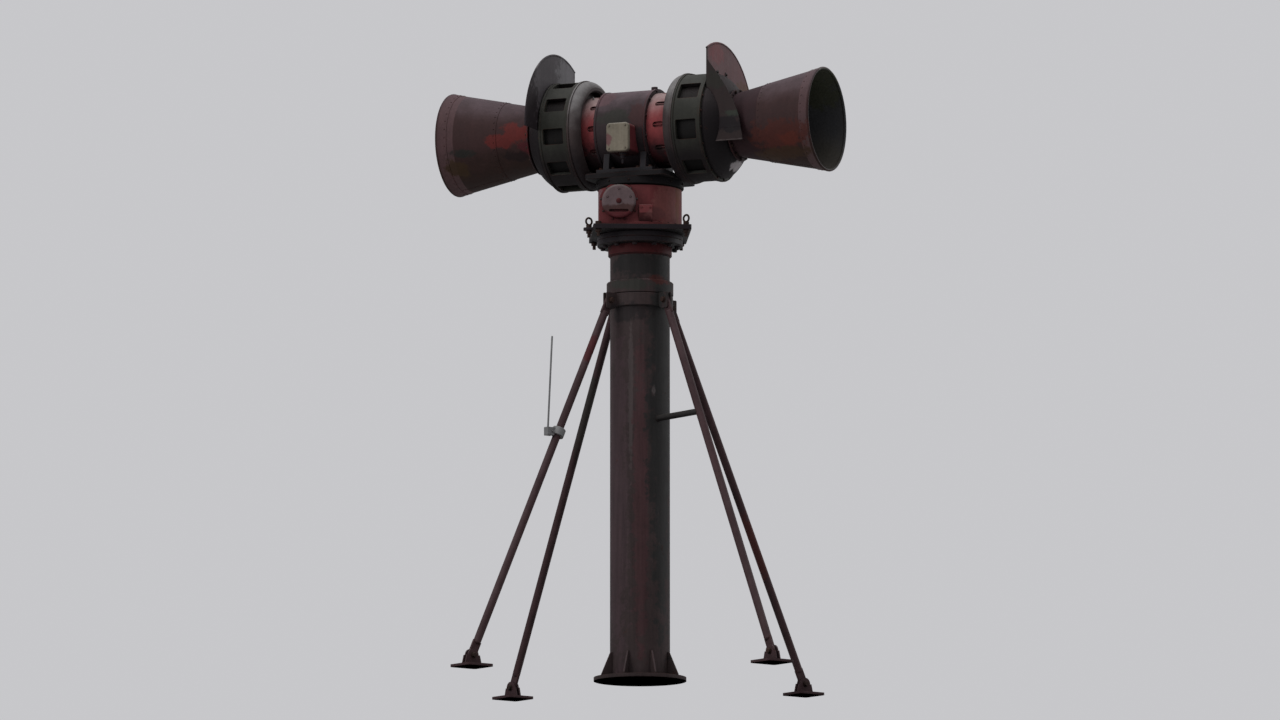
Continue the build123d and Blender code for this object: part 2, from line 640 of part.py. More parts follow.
# Cradle: two saddles on a pair of rails, under the motor
with BuildPart() as motor_cradle:
    for station in CRADLE_STATIONS:
        with BuildSketch(shaft_cross(1, station)):
            with BuildLine():
                bottom = -SHAFT_ABOVE_TABLE
                Polyline(
                    (-CRADLE_HALF_WIDTH, bottom),
                    (CRADLE_HALF_WIDTH, bottom),
                    (CRADLE_HALF_WIDTH, bottom + RAIL_HEIGHT),
                    (CRADLE_HALF_WIDTH - RAIL_WIDTH / 4, bottom + CRADLE_RISE),
                    (-CRADLE_HALF_WIDTH + RAIL_WIDTH / 4, bottom + CRADLE_RISE),
                    (-CRADLE_HALF_WIDTH, bottom + RAIL_HEIGHT),
                    close=True,
                )
            make_face()
            Circle(BAND_RADIUS + SEAT_GAP, mode=Mode.SUBTRACT)
        extrude(amount=CRADLE_WEB / 2, both=True)
    rail_middle = sum(CRADLE_STATIONS) / len(CRADLE_STATIONS)
    with BuildSketch(Plane.XY.offset(TABLE_TOP)):
        for side in (-1, 1):
            with Locations((rail_middle, side * (CRADLE_HALF_WIDTH - RAIL_WIDTH / 2))):
                Rectangle(RAIL_LENGTH, RAIL_WIDTH)
    extrude(amount=RAIL_HEIGHT)
finish(motor_cradle, "motor_cradle")

# Motor: a plain band between two end bells
with BuildPart() as motor_band:
    with BuildSketch(shaft_section(1)):
        with BuildLine():
            rim = BAND_RADIUS - BAND_RIM_HEIGHT
            Polyline(
                (BAND_LEFT, 0),
                (BAND_RIGHT, 0),
                (BAND_RIGHT, BAND_RADIUS),
                (BAND_RIGHT - BAND_RIM_WIDTH, BAND_RADIUS),
                (BAND_RIGHT - BAND_RIM_WIDTH, rim),
                (BAND_LEFT + BAND_RIM_WIDTH, rim),
                (BAND_LEFT + BAND_RIM_WIDTH, BAND_RADIUS),
                (BAND_LEFT, BAND_RADIUS),
                close=True,
            )
        make_face()
    revolve(axis=SHAFT_AXIS)
finish(motor_band, "motor_band")


def make_bell(end, start):
    """An end bell, from the band to the chopper cover's wall, with a row of vents if it is long."""
    length = COVER_WALL_STATION - start
    with BuildPart() as bell:
        with BuildSketch(shaft_cross(end, start)):
            Circle(BELL_RADIUS)
        extrude(amount=length)
        outer_rim = bell.faces().sort_by(Axis((0, 0, 0), (end, 0, 0)))[-1].edges()
        fillet(outer_rim, radius=BELL_EDGE)
        for number in range(VENT_COUNT):
            facing = off_shaft(360 / VENT_COUNT * number)
            spot = Vector(end * VENT_STATION, 0, SHAFT_HEIGHT) + facing * BELL_RADIUS
            with BuildSketch(Plane(origin=spot, x_dir=(end, 0, 0), z_dir=facing)):
                SlotOverall(VENT_LENGTH, VENT_WIDTH)
            extrude(amount=-VENT_DEPTH, mode=Mode.SUBTRACT)
    return bell


finish(make_bell(-1, -BAND_LEFT), "end_bell_left")
finish(make_bell(1, BAND_RIGHT), "end_bell_right")

with BuildPart() as lifting_lug:
    with BuildSketch(Plane.XY.offset(SHAFT_HEIGHT)):
        with Locations((LIFTING_LUG_STATION, 0)):
            SlotOverall(LIFTING_LUG_LENGTH, LIFTING_LUG_WIDTH)
    extrude(amount=BAND_RADIUS + LIFTING_LUG_HEIGHT)
    with BuildSketch(shaft_cross(1, 0)):
        Circle(BAND_RADIUS - BAND_RIM_HEIGHT + SEAT_GAP)
    extrude(amount=BAND_RIGHT, mode=Mode.SUBTRACT)
    fillet(lifting_lug.faces().sort_by(MAST_AXIS)[-1].edges(), radius=LIFTING_LUG_EDGE)
finish(lifting_lug, "lifting_lug")

# Terminal box and its lid, on the near side of the motor
box_section = Plane(origin=(0, 0, SHAFT_HEIGHT), x_dir=(1, 0, 0), z_dir=(0, -1, 0))
box_middle = ((BOX_LEFT + BOX_RIGHT) / 2, (BOX_TOP + BOX_BOTTOM) / 2)
with BuildPart() as terminal_box:
    with BuildSketch(box_section.offset(BAND_RADIUS / 2)):
        with Locations(box_middle):
            RectangleRounded(BOX_RIGHT - BOX_LEFT, BOX_TOP - BOX_BOTTOM, BOX_CORNER)
    extrude(amount=BOX_FACE - BAND_RADIUS / 2)
    with BuildSketch(shaft_cross(1, BAND_LEFT)):
        Circle(BAND_RADIUS - BAND_RIM_HEIGHT + SEAT_GAP)
    extrude(amount=BAND_RIGHT - BAND_LEFT, mode=Mode.SUBTRACT)
finish(terminal_box, "terminal_box")

with BuildPart() as terminal_lid:
    with BuildSketch(box_section.offset(BOX_FACE + SEAT_GAP)):
        with Locations(box_middle):
            RectangleRounded(BOX_RIGHT - BOX_LEFT, BOX_TOP - BOX_BOTTOM, BOX_CORNER)
    extrude(amount=BOX_LID_DEPTH)
    fillet(terminal_lid.faces().sort_by(Axis.Y)[0].edges(), radius=BOX_LID_EDGE)
finish(terminal_lid, "terminal_lid")

# Chopper at each end: shaft, ported rotor, cover, ported casing, dished face, horn and hood
def make_cover(end):
    """The inboard cover: a rounded lip round a recessed wall, open about the motor's bell."""
    crown = COVER_LIP_CROWN
    outer_start = (COVER_FACE, crown)
    corner = sqrt(0.5)
    swing = CASING_INNER_STATION - CASING_RIM_WIDTH - COVER_FACE
    rise = CASING_RADIUS - crown
    bend = (COVER_FACE + swing * (1 - corner), crown + rise * corner)
    with BuildPart() as cover:
        with BuildSketch(shaft_section(end)):
            with BuildLine():
                shoulder = (CASING_INNER_STATION - CASING_RIM_WIDTH, CASING_RADIUS)
                ThreePointArc(outer_start, bend, shoulder)
                Polyline(
                    shoulder,
                    (shoulder[0], CASING_RADIUS + CASING_RIM),
                    (CASING_INNER_STATION, CASING_RADIUS + CASING_RIM),
                    (CASING_INNER_STATION, SHAFT_RADIUS + SEAT_GAP),
                    (COVER_WALL_STATION + COVER_WALL / 2, SHAFT_RADIUS + SEAT_GAP),
                    (COVER_WALL_STATION + COVER_WALL / 2, COVER_LIP_RADIUS - COVER_WALL / 2),
                    (COVER_WALL_STATION, COVER_LIP_RADIUS),
                    (COVER_FACE + COVER_WALL, COVER_LIP_RADIUS),
                    (COVER_FACE, COVER_LIP_RADIUS + COVER_WALL),
                    outer_start,
                )
            make_face()
        revolve(axis=SHAFT_AXIS)
    return cover


def make_casing(end, ports):
    """The ported drum of the chopper: a tube with evenly spaced windows through its wall."""
    length = CASING_OUTER_STATION - CASING_INNER_STATION
    middle = (CASING_OUTER_STATION + CASING_INNER_STATION) / 2
    port_width = 2 * CASING_RADIUS * sin(radians(180 / ports * PORT_SHARE))
    seam = off_shaft(360 / ports * (1 - PORT_SHARE) / 2)
    with BuildPart() as casing:
        start = (end * CASING_INNER_STATION, 0, SHAFT_HEIGHT)
        with BuildSketch(Plane(origin=start, x_dir=seam, z_dir=(end, 0, 0))):
            Circle(CASING_RADIUS)
            Circle(CASING_RADIUS - CASING_WALL, mode=Mode.SUBTRACT)
        extrude(amount=length)
        for number in range(ports):
            facing = off_shaft(360 / ports * (number - PORT_SHARE / 2))
            centre = (end * middle, 0, SHAFT_HEIGHT)
            with BuildSketch(Plane(origin=centre, x_dir=(end, 0, 0), z_dir=facing)):
                RectangleRounded(PORT_LENGTH, port_width, PORT_CORNER)
            extrude(amount=CASING_RADIUS + CASING_WALL, mode=Mode.SUBTRACT)
    return casing


def make_rotor(end, ports):
    """The chopper's wheel: a disc, a ported rim and radial vanes behind the casing's ports."""
    rim = CASING_RADIUS - CASING_WALL - ROTOR_GAP
    start = CASING_INNER_STATION + ROTOR_GAP
    length = CASING_OUTER_STATION - CASING_INNER_STATION - 2 * ROTOR_GAP
    with BuildPart() as rotor:
        with BuildSketch(shaft_cross(end, start)):
            Circle(rim)
            Circle(SHAFT_RADIUS + SEAT_GAP, mode=Mode.SUBTRACT)
        extrude(amount=ROTOR_DISC)
        with BuildSketch(shaft_cross(end, start)):
            Circle(HUB_RADIUS)
            Circle(SHAFT_RADIUS + SEAT_GAP, mode=Mode.SUBTRACT)
        extrude(amount=HUB_LENGTH)
        with BuildSketch(shaft_cross(end, start)):
            Circle(rim)
            Circle(rim - ROTOR_SHELL, mode=Mode.SUBTRACT)
            with PolarLocations((rim + ROTOR_EYE_RADIUS) / 2, ports):
                Rectangle(rim - ROTOR_EYE_RADIUS - ROTOR_SHELL, ROTOR_VANE)
        extrude(amount=length)
    return rotor


def make_dish(end):
    """The outboard face: a cast bowl that narrows from the casing to the horn's root."""
    neck = horn_radius_at(DISH_NECK_STATION) + SEAT_GAP
    shoulder = CASING_OUTER_STATION + DISH_LIP_WIDTH
    inner_lip = DISH_LIP_RADIUS - DISH_WALL
    inner_neck = DISH_NECK_STATION - DISH_WALL
    inset = DISH_WALL * sqrt(0.5)
    with BuildPart() as dish:
        with BuildSketch(shaft_section(end)):
            with BuildLine():
                Polyline(
                    (shoulder, inner_lip),
                    (CASING_OUTER_STATION, inner_lip),
                    (CASING_OUTER_STATION, DISH_LIP_RADIUS),
                    (shoulder, DISH_LIP_RADIUS),
                )
                ThreePointArc(
                    (shoulder, DISH_LIP_RADIUS),
                    (DISH_BULGE_STATION, DISH_BULGE_RADIUS),
                    (DISH_NECK_STATION, neck),
                )
                Line((DISH_NECK_STATION, neck), (inner_neck, neck))
                ThreePointArc(
                    (inner_neck, neck),
                    (DISH_BULGE_STATION - inset, DISH_BULGE_RADIUS - inset),
                    (shoulder, inner_lip),
                )
            make_face()
        revolve(axis=SHAFT_AXIS)
    return dish


def horn_radius_at(station):
    """The horn's outer radius at a station."""
    share = (station - HORN_ROOT_STATION) / (HORN_MOUTH_STATION - HORN_ROOT_STATION)
    return HORN_ROOT_RADIUS + share * (HORN_MOUTH_RADIUS - HORN_ROOT_RADIUS)


def make_horn(end):
    """A long sheet cone with a rolled bead round its mouth."""
    with BuildPart() as horn:
        with BuildSketch(shaft_section(end)):
            with BuildLine():
                Polyline(
                    (HORN_ROOT_STATION, HORN_ROOT_RADIUS),
                    (HORN_MOUTH_STATION, HORN_MOUTH_RADIUS),
                    (HORN_MOUTH_STATION, HORN_MOUTH_RADIUS - HORN_WALL),
                    (HORN_ROOT_STATION, HORN_ROOT_RADIUS - HORN_WALL),
                    close=True,
                )
            make_face()
            with Locations((HORN_MOUTH_STATION, HORN_MOUTH_RADIUS - HORN_WALL / 2)):
                Circle(HORN_BEAD_RADIUS)
        revolve(axis=SHAFT_AXIS)
    return horn


def make_hood(end):
    """A half-round reflector with a rolled edge, cut upright at one side and turned into a cheek."""
    face = CASING_OUTER_STATION
    corner_height = sqrt(HOOD_RADIUS**2 - HOOD_CHORD**2)
    span = degrees(atan2(corner_height, -HOOD_CHORD))
    half = HOOD_THICKNESS / 2
    with BuildPart() as hood:
        with BuildSketch(shaft_cross(end, face + DISH_LIP_WIDTH / 2 - half)):
            Circle(HOOD_RADIUS)
            Circle(DISH_LIP_RADIUS + SEAT_GAP, mode=Mode.SUBTRACT)
            with Locations((0, -HOOD_RADIUS)):
                Rectangle(3 * HOOD_RADIUS, 2 * HOOD_RADIUS, mode=Mode.SUBTRACT)
            with Locations((-HOOD_CHORD - HOOD_RADIUS, 0)):
                Rectangle(2 * HOOD_RADIUS, 3 * HOOD_RADIUS, mode=Mode.SUBTRACT)
        extrude(amount=HOOD_THICKNESS)
        level = Plane(
            origin=(end * (face + DISH_LIP_WIDTH / 2), 0, SHAFT_HEIGHT),
            x_dir=(0, end, 0),
            z_dir=(0, 0, -1),
        )
        with BuildSketch(level):
            with Locations((HOOD_RADIUS, 0)):
                Circle(HOOD_EDGE_RADIUS)
        revolve(axis=Axis((0, 0, SHAFT_HEIGHT), (end, 0, 0)), revolution_arc=span)
        with BuildSketch(shaft_section(end, -end * HOOD_CHORD)):
            with BuildLine():
                root = face + DISH_LIP_WIDTH / 2
                Polyline(
                    (root, corner_height),
                    (root, CHEEK_TIP_HEIGHT),
                    (CHEEK_TIP_STATION, CHEEK_TIP_HEIGHT),
                )
                Spline(
                    (CHEEK_TIP_STATION, CHEEK_TIP_HEIGHT),
                    (CHEEK_LOWER_STATION, CHEEK_LOWER_HEIGHT),
                    (CHEEK_MIDDLE_STATION, CHEEK_MIDDLE_HEIGHT),
                    (root + HOOD_THICKNESS, CHEEK_ROOT_HEIGHT),
                )
                Polyline(
                    (root + HOOD_THICKNESS, CHEEK_ROOT_HEIGHT),
                    (root + HOOD_THICKNESS, corner_height),
                    (root, corner_height),
                )
            make_face()
        extrude(amount=half, both=True)
        with BuildSketch(shaft_section(end)):
            with BuildLine():
                shoulder = CASING_OUTER_STATION + DISH_LIP_WIDTH
                rim = DISH_LIP_RADIUS + SEAT_GAP
                neck = horn_radius_at(DISH_NECK_STATION)
                Line((CASING_OUTER_STATION, 0), (CASING_OUTER_STATION, rim))
                Line((CASING_OUTER_STATION, rim), (shoulder, rim))
                ThreePointArc(
                    (shoulder, rim),
                    (DISH_BULGE_STATION + SEAT_GAP, DISH_BULGE_RADIUS + SEAT_GAP),
                    (DISH_NECK_STATION + SEAT_GAP, neck),
                )
                Line((DISH_NECK_STATION + SEAT_GAP, neck), (DISH_NECK_STATION + SEAT_GAP, 0))
                Line((DISH_NECK_STATION + SEAT_GAP, 0), (CASING_OUTER_STATION, 0))
            make_face()
        revolve(axis=SHAFT_AXIS, mode=Mode.SUBTRACT)
    return hood


def make_shaft(end):
    """The stub of the motor's shaft that carries a rotor."""
    with BuildPart() as stub:
        with BuildSketch(shaft_cross(end, COVER_WALL_STATION)):
            Circle(SHAFT_RADIUS)
        extrude(amount=SHAFT_END_STATION - COVER_WALL_STATION)
        chamfer(stub.faces().sort_by(Axis((0, 0, 0), (end, 0, 0)))[-1].edges(), length=SHAFT_CHAMFER)
    return stub


for side, end in (("left", -1), ("right", 1)):
    finish(make_shaft(end), f"rotor_shaft_{side}")
    finish(make_rotor(end, PORT_COUNTS[side]), f"rotor_{side}")
    finish(make_cover(end), f"chopper_cover_{side}")
    finish(make_casing(end, PORT_COUNTS[side]), f"chopper_casing_{side}")
    finish(make_dish(end), f"dished_face_{side}")
    finish(make_horn(end), f"horn_{side}")
    finish(make_hood(end), f"hood_{side}")

print("shaft height", round(SHAFT_HEIGHT, 1), "foot pin radius", round(FOOT_PIN_RADIUS, 1))
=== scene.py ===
# %% [markdown]
# # A rotating warning siren on a braced mast
#
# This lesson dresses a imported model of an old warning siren. The solids already give every piece its size and
# place. Here each gets its finish, which is red paint gone to grey and brown, with rust, rain streaks and
# grime. Small things that the solids leave out, such as rivets, bolts and welds, are modelled here.

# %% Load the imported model
from math import atan2, cos, pi, radians, sin, sqrt

import bpy
from mathutils import Matrix, Vector


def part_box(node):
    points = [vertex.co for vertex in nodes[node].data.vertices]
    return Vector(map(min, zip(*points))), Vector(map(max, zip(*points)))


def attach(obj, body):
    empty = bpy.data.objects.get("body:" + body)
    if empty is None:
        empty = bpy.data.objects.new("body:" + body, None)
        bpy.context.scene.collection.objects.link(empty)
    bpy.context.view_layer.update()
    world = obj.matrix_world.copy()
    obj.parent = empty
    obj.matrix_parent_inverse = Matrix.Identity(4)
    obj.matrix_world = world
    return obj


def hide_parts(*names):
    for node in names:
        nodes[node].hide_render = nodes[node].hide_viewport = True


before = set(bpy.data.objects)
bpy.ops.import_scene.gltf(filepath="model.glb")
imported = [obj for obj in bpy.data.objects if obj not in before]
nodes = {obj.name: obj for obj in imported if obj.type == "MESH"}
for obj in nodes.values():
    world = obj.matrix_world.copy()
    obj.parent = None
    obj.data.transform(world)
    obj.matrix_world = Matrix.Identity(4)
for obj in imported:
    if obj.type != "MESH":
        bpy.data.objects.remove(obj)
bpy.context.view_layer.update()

# %% [markdown]
# New pieces are placed from the solids' boxes, so that they sit where they belong. The siren's shaft lies
# along X, and its height is the middle of the motor's band. A point round the shaft is given by its distance
# out from the mast, its radius and its turn, which is 0 on the near side, level with the shaft, and 90 on top.

# %% Find the shaft and the points round it
band_low, band_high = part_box("motor_band")
SHAFT = Vector((0, 0, (band_low.z + band_high.z) / 2))
SIDES = {"left": -1, "right": 1}
NEAR_AZIMUTH = -67
UP = Vector((0, 0, 1))
ALONG = Vector((1, 0, 0))


def from_shaft(along, away, up):
    """A point given from the middle of the shaft, along X, Y and Z."""
    return SHAFT + Vector((along, away, up))


def round_shaft(end, station, radius, turn):
    """A point round the shaft, at a station measured out from the mast."""
    angle = radians(turn)
    return from_shaft(end * station, -radius * cos(angle), radius * sin(angle))


def off_shaft(turn):
    """The direction straight away from the shaft."""
    return Vector((0, -cos(radians(turn)), sin(radians(turn))))


def round_mast(azimuth, radius, height):
    """A point round the mast."""
    return Vector((radius * cos(radians(azimuth)), radius * sin(radians(azimuth)), height))


def near_mast(turn, radius, height):
    """A point round the mast, at a turn from the side that the camera sees."""
    return round_mast(NEAR_AZIMUTH + turn, radius, height)


# %% [markdown]
# Materials are trees of nodes, and wiring those by hand is long-winded. One small class wraps a socket, so
# that sums and products of masks can be written as they would be on paper. Its node method adds any other
# node, and takes the settings first and then the values or links of the sockets.

# %% Write shader maths as Python
class Shade:
    """A socket in a material's tree of nodes."""

    def __init__(self, tree, socket=None):
        self.tree = tree
        self.socket = socket

    def node(self, kind, settings=None, inputs=None, output=0):
        """Add a node, set it up, and hand back one of its outputs."""
        made = self.tree.nodes.new(kind)
        for key, value in (settings or {}).items():
            setattr(made, key, value)
        for key, value in (inputs or {}).items():
            if isinstance(value, Shade):
                self.tree.links.new(value.socket, made.inputs[key])
            else:
                made.inputs[key].default_value = value
        return Shade(self.tree, made.outputs[output])

    def maths(self, operation, first, second):
        """A Math node on two values."""
        return self.node("ShaderNodeMath", {"operation": operation}, {0: first, 1: second})

    def __add__(self, other):
        return self.maths("ADD", self, other)

    __radd__ = __add__

    def __sub__(self, other):
        return self.maths("SUBTRACT", self, other)

    def __rsub__(self, other):
        return self.maths("SUBTRACT", other, self)

    def __mul__(self, other):
        return self.maths("MULTIPLY", self, other)

    def ramp(self, low, high):
        """0 at low and 1 at high, with a smooth change between. Low may be the larger."""
        inputs = {"Value": self, "From Min": low, "From Max": high}
        return self.node("ShaderNodeMapRange", {"interpolation_type": "SMOOTHSTEP"}, inputs)

    def blend(self, first, second):
        """Two colours mixed, with this value as the share of the second."""
        return self.node("ShaderNodeMix", {"data_type": "RGBA"}, {0: self, 6: first, 7: second}, 2)

    def part(self, axis):
        """One number of a vector."""
        return self.node("ShaderNodeSeparateXYZ", None, {0: self}, axis)


# %% [markdown]
# Old paint is never one colour. It is darker and redder on the sides, and lighter where it faces the sky, which
# is partly sun bleaching and partly painted light. Underneath it is nearly black, which is painted shade. So
# the main recipe looks at which way the surface faces, and lets noise of several sizes push that border about.
# A point of the object can get a patch of its own, and a slab between two stations can get a tint with a sharp
# border, as sheets from different batches have.

# %% Read the surface
RAGGED = 3.6
BORDER = 0.002
WAVER = 0.006


def screen(shown):
    """A colour as a screen shows it, from 0 to 255, in the linear values that Blender uses."""
    return tuple((value / 255) ** 2.2 for value in shown) + (1.0,)


def noise(where, scale, detail=5.0, roughness=0.6):
    """Cloudy noise from 0 to 1, with so many clouds to the metre."""
    inputs = {"Vector": where, "Scale": scale, "Detail": detail, "Roughness": roughness}
    return where.node("ShaderNodeTexNoise", None, inputs)


def patch(where, fringe, centre, reach):
    """1 within an oval round a point, fading out along a ragged edge."""
    inputs = {"Vector": where, "Location": tuple(centre), "Scale": reach}
    moved = where.node("ShaderNodeMapping", {"vector_type": "TEXTURE"}, inputs)
    distance = moved.node("ShaderNodeVectorMath", {"operation": "LENGTH"}, {0: moved}, "Value")
    return (distance + (fringe - 0.5) * RAGGED).ramp(1.25, 0.75)


def between(where, mottle, axis, low, high):
    """1 in a slab between two values along an axis, with nearly sharp borders."""
    value = where.part(axis) + (mottle - 0.5) * WAVER
    return value.ramp(low - BORDER, low + BORDER) * value.ramp(high + BORDER, high - BORDER)


# %% [markdown]
# The recipe itself works in layers: paint, a top that is partly bleached and partly painted light, an underside
# of painted shade, patches, rain streaks, rust, painted shade in the corners, and wear along the edges. Rust
# and flaking also change how rough the surface is and how it stands up, so they feed Roughness and a Bump node
# as well as the colour. Chalky old paint hardly mirrors the sky, and its share of plain reflection is turned
# down to match, or the dark reds would come out grey.

# %% The recipe for weathered paint
RUST_DARK = screen((44, 27, 22))
RUST_ORANGE = screen((84, 44, 30))
NOOK_SHADE = screen((18, 15, 16))
CHALKY = 0.16
GLOSSY = 0.5
NOOK_REACH = 0.05
EDGE_WIDTH = 0.005
DRIPS = (42.0, 42.0, 2.2)


def new_material(name, gloss=CHALKY):
    """A fresh material, its tree and its Principled node."""
    material = bpy.data.materials.new(name)
    material.use_nodes = True
    finish = material.node_tree.nodes["Principled BSDF"]
    finish.inputs["Specular IOR Level"].default_value = gloss
    return material, Shade(material.node_tree), finish


def link(node, sources):
    """Feed sockets of a node."""
    for name, source in sources.items():
        source.tree.links.new(source.socket, node.inputs[name])


def weathered(name, side, top, under, patches=(), slabs=(), rust=0.3, streaks=0.5, bleach=0.35, rough=0.7,
              edge=None):
    """Paint that has stood outdoors for decades, with painted light on top and painted shade underneath and in
    the nooks. Its colours are given as a screen shows them.
    """
    material, tree, finish = new_material(name)
    where = tree.node("ShaderNodeTexCoord", output="Object")
    normal = tree.node("ShaderNodeNewGeometry", output="Normal")
    cloud = noise(where, 3.1)
    mottle = noise(where, 13.0)
    grain = noise(where, 75.0, 3.0)
    fringe = mottle * 0.6 + noise(where, 36.0, 4.0) * 0.4
    upright = where.node("ShaderNodeMapping", None, {"Vector": where, "Scale": DRIPS})
    drip = noise(upright, 1.0, 4.0)
    lean = normal.part("Z") + (cloud - 0.5) * 0.8 + (mottle - 0.5) * 0.5
    # Painted light and shade: the top colour is partly bleaching and partly painted light, and the under colour
    # is painted shade.
    colour = lean.ramp(bleach - 0.4, bleach + 0.45).blend(screen(side), screen(top))
    colour = lean.ramp(-0.15, -0.8).blend(colour, screen(under))
    for axis, low, high, share, tint in slabs:
        colour = (between(where, mottle, axis, low, high) * share).blend(colour, screen(tint))
    for centre, reach, tint in patches:
        colour = (patch(where, fringe, centre, reach) * 0.9).blend(colour, screen(tint))
    tone = 0.48 + cloud * 0.5 + mottle * 0.5 + (grain - 0.5) * 0.35 + (drip - 0.5) * streaks
    toning = {"data_type": "RGBA", "blend_type": "MULTIPLY"}
    colour = tone.node("ShaderNodeMix", toning, {0: 1.0, 6: colour, 7: tone}, 2)
    spots = noise(where, 8.0, 8.0, 0.72) + (drip - 0.5) * 0.35
    spots = spots.ramp(0.70 - 0.16 * rust, 0.80 - 0.14 * rust)
    rusty = mottle.ramp(0.35, 0.7).blend(RUST_DARK, RUST_ORANGE)
    colour = (spots * 0.7).blend(colour, rusty)
    # Painted shade: the nooks that the occlusion node finds darken towards near black.
    nook = tree.node("ShaderNodeAmbientOcclusion", {"samples": 6}, {"Distance": NOOK_REACH}, "AO")
    colour = (nook.ramp(0.65, 0.15) * 0.6).blend(colour, NOOK_SHADE)
    rounded = tree.node("ShaderNodeBevel", {"samples": 4}, {"Radius": EDGE_WIDTH})
    straight = rounded.node("ShaderNodeVectorMath", {"operation": "DOT_PRODUCT"}, {0: rounded, 1: normal},
                            "Value")
    worn = (1 - straight + (mottle - 0.5) * 0.15).ramp(0.04, 0.16) * nook.ramp(0.4, 0.8)
    colour = (worn * 0.6).blend(colour, screen(edge) if edge else rusty)
    height = mottle * 0.4 + grain * 0.35 + spots * 0.5 - worn * 0.3
    relief = {"Height": height, "Strength": 0.55, "Distance": 0.003, "Normal": rounded}
    bump = tree.node("ShaderNodeBump", None, relief)
    roughness = rough + (mottle - 0.5) * 0.3 + spots * 0.15
    link(finish, {"Base Color": colour, "Roughness": roughness, "Normal": bump})
    return material


def dress(material, *pieces):
    """Give pieces a material, keeping the material slots that a solid came with."""
    for piece in pieces:
        if not piece.material_slots:
            piece.data.materials.append(material)
        for place in piece.material_slots:
            place.material = material


def blotch(turn, radius, height, reach, rise, tint):
    """A patch on the mast or beside it, as tall as its rise and as wide as its reach."""
    return near_mast(turn, radius, height), (reach, reach, rise), tint


def painted(prefixes, name, *colours, **how):
    """A weathered finish, given to every solid whose name starts with one of the prefixes."""
    material = weathered(name, *colours, **how)
    solids = [nodes[solid] for solid in nodes if solid.startswith(prefixes)]
    dress(material, *solids)
    print(name, "on", len(solids), "solids")
    return material


# %% [markdown]
# The mast was red once. Only its sleeve, under the head, has kept much of that. Below the leg clamp the near
# side shows upright bands: mauve on the left, a thin pale strip, a pinkish one, and grey-green on the right.
# So the mast's patches are tall and narrow, and each sits at a turn of its own.

# %% Paint the mast and its foot
mast_patches = [
    blotch(-52, 0.16, 1.0, 0.08, 0.9, (66, 53, 56)),
    blotch(-18, 0.16, 1.55, 0.013, 0.42, (70, 62, 62)),
    blotch(2, 0.16, 1.0, 0.042, 0.8, (68, 48, 50)),
    blotch(48, 0.16, 1.5, 0.085, 1.2, (42, 42, 42)),
    blotch(27, 0.16, 1.56, 0.012, 0.03, (84, 78, 78)),
    blotch(-20, 0.18, 2.14, 0.14, 0.03, (50, 50, 47)),
    blotch(0, 0.17, 2.25, 0.2, 0.06, (36, 35, 35)),
    # Painted shadow just under the leg clamp.
    blotch(-28, 0.16, 1.985, 0.12, 0.045, (39, 35, 36)),
    blotch(38, 0.18, 2.17, 0.08, 0.024, (70, 38, 36)),
    blotch(177, 0.16, 1.4, 0.1, 0.8, (66, 46, 46)),
    blotch(237, 0.16, 1.0, 0.06, 0.6, (44, 44, 42)),
]
mast_paint = painted(("mast_pipe", "mast_collar", "leg_clamp", "base_"), "mast_paint",
                     (56, 47, 47), (74, 64, 66), (32, 27, 28), mast_patches, streaks=0.9)

# %% Paint the legs and feet
leg_patches = [
    blotch(308, 0.36, 1.78, 0.10, 0.07, (74, 36, 39)),
    blotch(38, 0.62, 1.2, 0.1, 0.3, (72, 54, 56)),
    blotch(128, 0.8, 0.8, 0.2, 0.2, (70, 40, 38)),
    blotch(218, 0.5, 1.5, 0.2, 0.2, (52, 48, 46)),
]
leg_paint = painted(("leg_near", "leg_far", "foot_"), "leg_paint",
                    (62, 46, 48), (76, 62, 64), (36, 27, 28), leg_patches, rust=0.35)
brace_paint = painted("leg_brace", "brace_paint", (44, 42, 42), (54, 52, 50), (28, 26, 26))

# %% Paint the sleeve, the slewing gear's drum and its motor
sleeve_paint = painted("mast_sleeve", "sleeve_paint", (62, 25, 27), (84, 44, 44), (36, 19, 21))
drum_patches = [
    # A painted highlight on the drum's top left.
    blotch(-75, 0.22, 2.62, 0.07, 0.05, (112, 82, 86)),
    blotch(45, 0.22, 2.58, 0.09, 0.13, (112, 68, 66)),
    blotch(64, 0.22, 2.60, 0.03, 0.12, (98, 56, 42)),
    blotch(22, 0.22, 2.52, 0.07, 0.03, (98, 60, 60)),
    blotch(187, 0.22, 2.58, 0.09, 0.06, (104, 70, 70)),
]
drum_paint = painted(("gear_drum", "filler_box"), "drum_paint",
                     (98, 50, 52), (110, 74, 73), (48, 25, 26), drum_patches)
slew_patches = [
    blotch(-23, 0.29, 2.535, 0.12, 0.028, (64, 44, 42)),
    blotch(-23, 0.29, 2.505, 0.12, 0.026, (80, 34, 38)),
]
slew_paint = painted("slew_motor", "slew_paint", (92, 78, 80), (106, 96, 95), (64, 38, 40), slew_patches,
                     rust=0.2)

# %% Finish the bare castings and fittings
iron = painted(("head_plate", "slew_bearing"), "dark_iron", (32, 27, 31), (46, 41, 45), (20, 17, 19),
               rust=0.2, rough=0.62)
table_iron = painted("turntable_", "table_iron", (22, 19, 21), (30, 27, 29), (13, 11, 12), rust=0.15)
painted("motor_cradle", "cradle_iron", (42, 40, 43), (52, 49, 53), (36, 34, 36), rust=0.2)
rusty = painted(("eyebolt", "plate_bolt"), "rusty_steel", (48, 37, 34), (66, 54, 50), (30, 24, 23),
                rust=0.8, rough=0.75)
painted("rotor", "sooty_steel", (22, 20, 20), (34, 30, 30), (14, 12, 12), rust=0.5)
zinc = painted(("lightning_rod", "rod_clamp"), "dull_zinc", (112, 112, 113), (140, 140, 140), (80, 78, 78),
               rust=0.2, rough=0.5)
